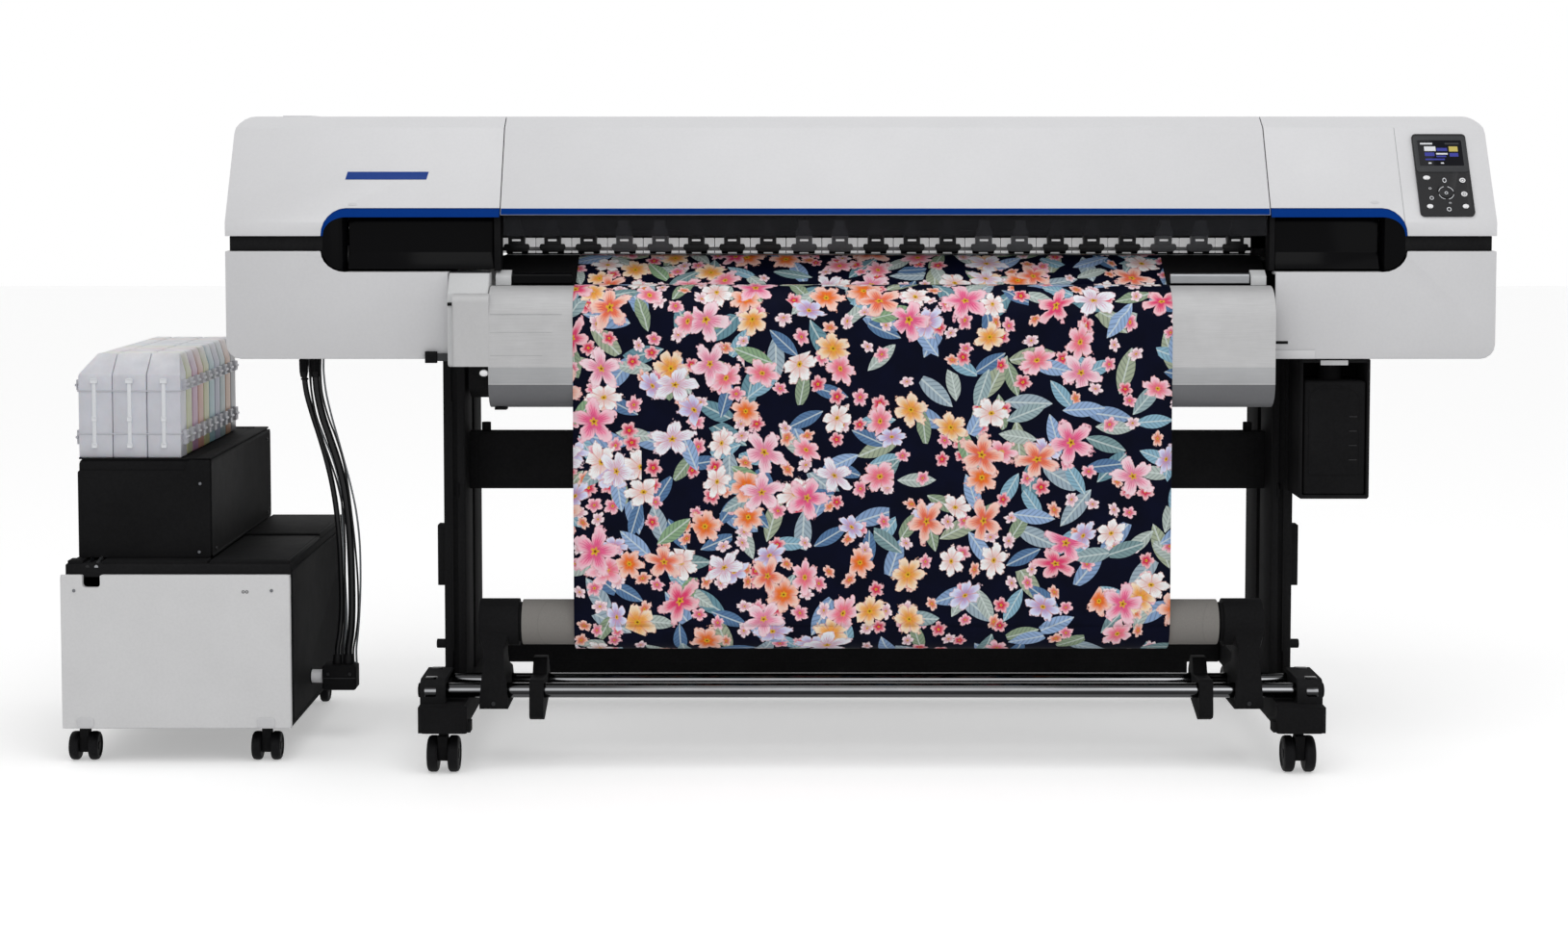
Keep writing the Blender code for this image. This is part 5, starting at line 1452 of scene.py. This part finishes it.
def addTray(looks):
    low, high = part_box("tank_tray")
    step, (stepX, topX) = trayLook["step"], trayLook["notchX"]
    face = outline("tray_front", roundedPoly([(low.x + .0005, low.z + .0035), (high.x, low.z + .0035),
                                              (high.x, high.z - .0015), (topX, high.z - .0015),
                                              (stepX, step), (low.x + .0005, step)], .0050), "XZ",
                   low.y - .0036, low.y + .0004)
    finish(face, .0010, looks["black"], 3)
    front, back, bottom, top = low.y + .002, high.y - .001, low.z + .003, high.z - .002
    corners = [(front, bottom), (back, bottom), (back, top), (front, top)]
    wall = outline("tray_side", roundedPoly(corners, .012), "YZ", high.x - .0004, high.x + .0022)
    insetFaces(wall, lambda c, n: n.x > .9, .0040, -.0007)
    finish(wall, .0008, looks["black"])
    for k, (y, z) in enumerate(trayLook["screws"]):
        screwHead("tray_screw_" + str(k + 1), (high.x + .0020, y, z), (1, 0, 0), trayLook["screwRadius"],
                  looks["darkScrew"])
    outer = roundedBox((low.x + .0008, high.x - .0008), (low.y + .0008, high.y - .0008), .008)
    inner = roundedBox((low.x + .0050, high.x - .0300), (low.y + .0050, high.y - .0080), .006)
    rim = outline("tray_rim", outer, "XY", high.z - .0004, high.z + .0026, inner[::-1])
    finish(rim, .0008, looks["black"])


# where the hoses leave the case and enter the cabinet's connector: (x, y) and the radius of each hose
fittingLook = {"caseEnds": ((-.9895, -.112, .0080), (-1.0150, -.112, .0060)), "caseZ": .8290,
               "clampEnds": ((-.9245, .0105), (-.9485, .0085)), "clampZ": .1683, "axis": (-.116, .141),
               "screwX": (-.9650, -.9180)}


def addHoseFittings(looks):
    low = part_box("hose_connector")[0]
    y, z = fittingLook["axis"]
    sleeve = spun("connector_sleeve", [(-1.0035, .0125), (-1.0035, .0138), (-1.0030, .0143), (-.9800, .0143),
                                       (-.9795, .0138), (-.9795, .0125), (-1.0035, .0125)], y, z, 40)
    dress(sleeve, looks["keycap"], "root")
    nut = spun("connector_nut", [(-1.0056, .0125), (-1.0056, .0180), (-1.0040, .0190), (-1.0036, .0190),
                                 (-1.0036, .0125), (-1.0056, .0125)], y, z, 6)
    dress(nut, looks["black"], "root")
    for k, x in enumerate(fittingLook["screwX"]):
        screwHead("clamp_screw_" + str(k + 1), (x, low.y - .0004, .1500), (0, -1, 0), .0040,
                  looks["darkScrew"])
    seam = block("clamp_seam", (-.9775, -.9055), (-.1425, -.1418), (.1400, .1412))
    finish(seam, .0002, looks["frameGrey"])
    bottom = fittingLook["clampZ"]
    for k, (x, radius) in enumerate(fittingLook["clampEnds"]):
        boot = rod("clamp_boot_" + str(k + 1), (x, y, bottom), (x, y, bottom + .0207), radius + .0022, 28,
                   radius)
        finish(boot, .0008, looks["rubber"])
    top = fittingLook["caseZ"]
    for k, (x, y, radius) in enumerate(fittingLook["caseEnds"]):
        gland = rod("case_gland_" + str(k + 1), (x, y, top), (x, y, top - .0270), radius + .0048, 6,
                    radius + .0040)
        finish(gland, .0010, looks["black"])
        collar = rod("hose_collar_" + str(k + 1), (x, y, top - .0260), (x, y, top - .0390),
                     radius + .0035, 28, radius + .0012)
        finish(collar, .0006, looks["rubber"])
    band = ring("hose_band", (-1.0133, -.1117, .7860), .0062, .0022, "Z", 28)
    dress(smooth(band), looks["rubber"], "root")


# waste bottle: its holder's tag, the raised shape on its front and its level marks
bottleLook = {"tag": ((1.1290, 1.1860), (.8330, .8430)), "panelZ": (.6050, .7700, .7880),
              "shoulderHalf": .034, "marks": 5, "markPitch": .030}


def addBottle(looks):
    holder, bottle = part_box("bottle_holder"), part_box("waste_bottle")
    tag = outline("bottle_tag", roundedBox(*bottleLook["tag"], .0012), "XZ", holder[0].y - .0012,
                  holder[0].y + .0004)
    finish(tag, .0003, looks["tag"])
    x0, x1 = bottle[0].x + .010, bottle[1].x - .010
    middle = (x0 + x1) / 2
    bottom, shoulder, top = bottleLook["panelZ"]
    half = bottleLook["shoulderHalf"]
    shape = [(x0, bottom), (x1, bottom), (x1, shoulder), (middle + half, top), (middle - half, top),
             (x0, shoulder)]
    label = outline("bottle_front_panel", roundedPoly(shape, .010), "XZ", bottle[0].y - .0014,
                    bottle[0].y + .0006)
    insetFaces(label, lambda c, n: n.y < -.9, .0035, -.0012)
    dress(soften(label, .0006, 2), looks["black"], "waste_bottle")
    for k in range(bottleLook["marks"]):
        z = bottom + k * bottleLook["markPitch"]
        mark = block("fill_mark_" + str(k + 1), (x1 - .024, x1 - .008),
                     (bottle[0].y - .0010, bottle[0].y - .0001), (z, z + .0014))
        dress(soften(mark, .0002, 2), looks["arm"], "waste_bottle")


# stand: brackets under the body, caps, bolts and lines on the legs
standLook = {"bracketZ": (.7500, .8290), "legHalf": .0230, "legY": (-.200, .108), "footHalf": .0468,
             "railY": (-.405, -.300), "railZ": .168, "saddle": {"left": -.7275, "right": 1.1225},
             "mirror": .1975, "holderMiddle": -.5770, "boltZ": (.2350, .2900, .7000, .7400),
             "boltY": (-.1500, .0600), "boltRadius": .0065, "slotZ": (.5400, .5720), "ribZ": (.2100, .7450),
             "ribOff": .0120, "taperCuts": (.165, .200, .235, .256), "taperFrom": .150, "taperOver": .090,
             "taper": .30}


def addStand(looks):
    for side in ("left", "right"):
        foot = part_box(side + "_foot")
        inward = 1 if side == "left" else -1
        middle = (foot[0].x + foot[1].x) / 2
        outer, inner = middle - inward * standLook["legHalf"], middle + inward * standLook["legHalf"]
        front, rear = standLook["legY"]
        zLow, zHigh = standLook["bracketZ"]
        shape = [(front + .004, zHigh), (front + .004, zLow + .022), (front + .050, zLow),
                 (rear - .048, zLow), (rear - .008, zLow + .022), (rear - .008, zHigh)]
        plate = outline(side + "_leg_bracket", shape, "YZ",
                        *sorted((inner + inward * .0006, inner + inward * .0540)))
        insetFaces(plate, lambda c, n: n.x * inward > .9, .005, -.020)
        finish(plate, .0018, looks["powder"])
        for k, z in enumerate(standLook["boltZ"]):
            for j, y in enumerate(standLook["boltY"]):
                screwHead(side + "_leg_bolt_" + str(2 * k + j + 1), (outer, y, z), (-inward, 0, 0),
                          standLook["boltRadius"], looks["darkScrew"])
        shape = roundedBox((middle - .0035, middle + .0035), standLook["slotZ"], .0030)
        slot = outline(side + "_leg_slot", shape, "XZ", front - .0012, front + .0004)
        finish(slot, .0004, looks["gloss"])
        for k, x in enumerate((middle - standLook["ribOff"], middle + standLook["ribOff"])):
            rib = block(side + "_leg_rib_" + str(k + 1), (x - .0016, x + .0016),
                        (front - .0012, front + .0004), standLook["ribZ"])
            finish(rib, .0006, looks["powder"])
        half = standLook["footHalf"]
        for end, y in (("front", foot[0].y), ("rear", foot[1].y)):
            out = -1 if end == "front" else 1
            cap = block(side + "_foot_cap_" + end, (middle - half, middle + half),
                        sorted((y + out * .0035, y - out * .0160)), (foot[0].z - .0006, foot[0].z + .0538))
            roundEdges(cap, lambda c, d: abs(d.z) > .03 and (c.y - y) * out > 0, .006)
            finish(cap, .0016, looks["black"])
        outside, z = standLook["saddle"][side], standLook["railZ"]
        for k, y in enumerate(standLook["railY"]):
            sleeve = rod(side + "_rail_sleeve_" + str(k + 1), (outside + inward * .0090, y, z),
                         (outside + inward * .0330, y, z), .0284, 48)
            finish(sleeve, .0012, looks["rail"], 3)
            for name, reach, radius, look in (("knob", .0060, .0150, "black"), ("ring", .0075, .0085, "pin")):
                disc = rod(side + "_rail_" + name + "_" + str(k + 1),
                           (outside + inward * .001, y, z), (outside - inward * reach, y, z), radius, 36)
                finish(disc, .0014, looks[look], 3)


# take-up holders: the upright narrows towards the hub
def addHolders(looks):
    for side in ("left", "right"):
        name = "takeup_holder_" + side
        shell = refine(name, looks["black"], .0025)
        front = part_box(name)[0].y
        middle = standLook["holderMiddle"]
        if side == "right":
            middle = 2 * standLook["mirror"] - middle
        for z in standLook["taperCuts"]:
            cutLine(shell, (0, 0, z), (0, 0, 1))
        for vert in shell.data.vertices:
            if vert.co.z < .2565:
                share = min(1.0, max(0.0, (vert.co.z - standLook["taperFrom"]) / standLook["taperOver"]))
                vert.co.x = middle + (vert.co.x - middle) * (1.0 - standLook["taper"] * share)
        smooth(shell)
        screwHead(name + "_screw", (middle, front, .1450), (0, -1, 0), .0050, looks["darkScrew"], name)


# beam between the legs: a plate set on its front
def addBeam(looks):
    low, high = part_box("cross_beam")
    plate = block("beam_front_plate", (low.x + .020, high.x - .020), (low.y - .0016, low.y + .0004),
                  (low.z + .0030, high.z - .0245))
    finish(plate, .0006, looks["powder"])


# rear of the body: vents, sockets and a service panel
rearLook = {"vents": ((-1.020, -.860), (1.180, 1.340)), "ventZ": (.945, 1.035), "slots": 7,
            "hatchX": (-.300, .600), "hatchZ": (1.150, 1.290),
            "inletX": (1.2350, 1.2700), "inletZ": (.8880, .9140),
            "hatchScrews": ((-.285, .585), (1.165, 1.275)),
            "inletPins": ((-.0080, -.0030), (.0080, -.0030), (0, .0040)),
            "ports": ((1.1100, 1.1270), (1.1400, 1.1540)), "portZ": (.8950, .9090)}


def addRear(looks):
    rear = max(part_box("lower_case_left")[1].y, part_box("rear_case")[1].y)
    for v, (x0, x1) in enumerate(rearLook["vents"]):
        slots = []
        z0, z1 = rearLook["ventZ"]
        for k in range(rearLook["slots"]):
            z = z0 + (z1 - z0) * k / (rearLook["slots"] - 1)
            slot = outline("vent_slot", roundedBox((x0, x1), (z - .0028, z + .0028), .0026, 4), "XZ",
                           rear - .0004, rear + .0012)
            insetFaces(slot, lambda c, n: n.y > .9, .0009, -.0011)
            slots.append(slot)
        dress(smooth(joined("rear_vent_" + str(v + 1), slots)), looks["black"], "root")
    hatch = outline("service_panel", roundedBox(rearLook["hatchX"], rearLook["hatchZ"], .012), "XZ",
                    rear - .0004, rear + .0016)
    insetFaces(hatch, lambda c, n: n.y > .9, .004, -.0006)
    finish(hatch, .0005, looks["white"])
    across, upright = rearLook["hatchScrews"]
    for k, (x, z) in enumerate([(x, z) for x in across for z in upright]):
        screwHead("service_screw_" + str(k + 1), (x, rear + .0010, z), (0, 1, 0), .0040, looks["screw"])
    x, z = rearLook["inletX"], rearLook["inletZ"]
    frameX, frameZ = (x[0] - .006, x[1] + .006), (z[0] - .010, z[1] + .010)
    inlet = outline("mains_inlet", roundedBox(frameX, frameZ, .004), "XZ", rear - .0004, rear + .0032,
                    roundedBox(x, z, .004)[::-1])
    finish(inlet, .0007, looks["black"])
    well = outline("mains_inlet_well", roundedBox(x, z, .004), "XZ", rear - .0003, rear + .0004)
    dress(well, looks["rubber"], "root")
    for k, (dx, dz) in enumerate(rearLook["inletPins"]):
        pinX, pinZ = (x[0] + x[1]) / 2 + dx, (z[0] + z[1]) / 2 + dz
        pin = block("inlet_pin_" + str(k + 1), (pinX - .0010, pinX + .0010), (rear, rear + .0026),
                    (pinZ - .0026, pinZ + .0026))
        finish(pin, .0003, looks["pin"])
    z0, z1 = rearLook["portZ"]
    for k, (x0, x1) in enumerate(rearLook["ports"]):
        opening = roundedBox((x0, x1), (z0, z1), .0008)
        edge = roundedBox((x0 - .002, x1 + .002), (z0 - .003, z1 + .003), .0015)
        port = outline("data_port_" + str(k + 1), edge, "XZ", rear - .0004, rear + .0014, opening[::-1])
        finish(port, .0003, looks["pin"])
        hole = outline("data_port_hole_" + str(k + 1), opening, "XZ", rear - .0003, rear + .0003)
        dress(hole, looks["rubber"], "root")


# inside: carriage belt and pulleys, encoder strip, capping station and carriage trim
insideLook = {"beltY": (-.030, -.020), "beltZ": (1.2245, 1.2405), "beltThick": .0014,
              "pulleyX": (-.930, 1.330), "pulleyRadius": .0074, "motorRadius": .021, "motorLength": .057,
              "station": ((1.0900, 1.2300), (-.2500, -.1200)), "caps": 4, "capFirst": 1.1100,
              "capPitch": .0330, "dampers": (5, 2), "damperPitch": (.032, .0500), "coverZ": (1.0860, 1.1620)}


def beltLoop(x0, x1, middle, radius):    # a straight run above and below, with a half turn at each end
    return arc((x1, middle), radius, -90, 90, 10) + arc((x0, middle), radius, 90, 270, 10)


def addInside(looks):
    y0, y1 = insideLook["beltY"]
    (z0, z1), (x0, x1) = insideLook["beltZ"], insideLook["pulleyX"]
    middle = (z0 + z1) / 2
    outer = beltLoop(x0, x1, middle, (z1 - z0) / 2)
    inner = beltLoop(x0, x1, middle, (z1 - z0) / 2 - insideLook["beltThick"])
    belt = outline("carriage_belt", outer, "XZ", y0, y1, inner[::-1])
    dress(smooth(belt), looks["rubber"], "root")
    for k, x in enumerate((x0, x1)):
        pulley = rod("belt_pulley_" + str(k + 1), (x, y0 - .002, middle), (x, y1 + .002, middle),
                     insideLook["pulleyRadius"] - .0008, 24)
        finish(pulley, .0006, looks["steel"])
    motorFront = y1 + .003
    motor = rod("carriage_motor", (x1, motorFront, middle),
                (x1, motorFront + insideLook["motorLength"], middle), insideLook["motorRadius"], 40)
    insetFaces(motor, lambda c, n: n.y > .9, .004, -.002)
    finish(motor, .0012, looks["black"], 3)
    strip = block("encoder_strip", (x0 + .02, x1 - .02), (-.0420, -.0416), (1.2230, 1.2330))
    finish(strip, .0001, looks["clear"])
    low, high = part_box("carriage")
    station = outline("capping_station", roundedBox(*insideLook["station"], .008), "XY", 1.0360, 1.0540)
    insetFaces(station, lambda c, n: n.z > .9, .006, -.004)
    finish(station, .0012, looks["black"])
    for k in range(insideLook["caps"]):
        x = insideLook["capFirst"] + k * insideLook["capPitch"]
        lip = outline("cap_lip_" + str(k + 1), roundedBox((x - .011, x + .011), (-.230, -.140), .004), "XY",
                      1.0500, 1.0570, roundedBox((x - .0085, x + .0085), (-.2275, -.1425), .003)[::-1])
        finish(lip, .0008, looks["rubber"])
    dampers = []
    across, deep = insideLook["dampers"]
    pitchX, pitchY = insideLook["damperPitch"]
    for k in range(across):
        for j in range(deep):
            x, y = low.x + .026 + k * pitchX, -.2100 + j * pitchY
            damper = block("damper", (x - .0125, x + .0125), (y - .0190, y + .0190),
                           (high.z - .0100, high.z + .0060))
            insetFaces(damper, lambda c, n: n.z > .9, .003, -.0015)
            dampers.append(soften(damper, .0012, 2))
    dress(joined("carriage_dampers", dampers), looks["black"], "carriage")
    (left, right), (bottom, top) = (low.x + .006, high.x - .006), insideLook["coverZ"]
    corners = [(left, bottom), (right, bottom), (right, top), (left, top)]
    cover = outline("carriage_cover", roundedPoly(corners, .010), "XZ", low.y - .0030, low.y + .0006)
    insetFaces(cover, lambda c, n: n.y < -.9, .008, -.0012)
    dress(soften(cover, .0012, 3), looks["white"], "carriage")
    x = (low.x + high.x) / 2
    clamp = block("belt_clamp", (x - .020, x + .020), (y0 - .004, y1 + .004), (1.2170, 1.2268))
    dress(soften(clamp, .0012, 2), looks["steel"], "carriage")


addControlPanel(looks)
print("control panel made")
addTanks(looks)
addTray(looks)
addCabinet(looks)
print("ink supply made")
addHoseFittings(looks)
addBottle(looks)
addStand(looks)
addHolders(looks)
addBeam(looks)
print("fittings and stand trimmed")
addRear(looks)
addInside(looks)
print("rear and inside made")
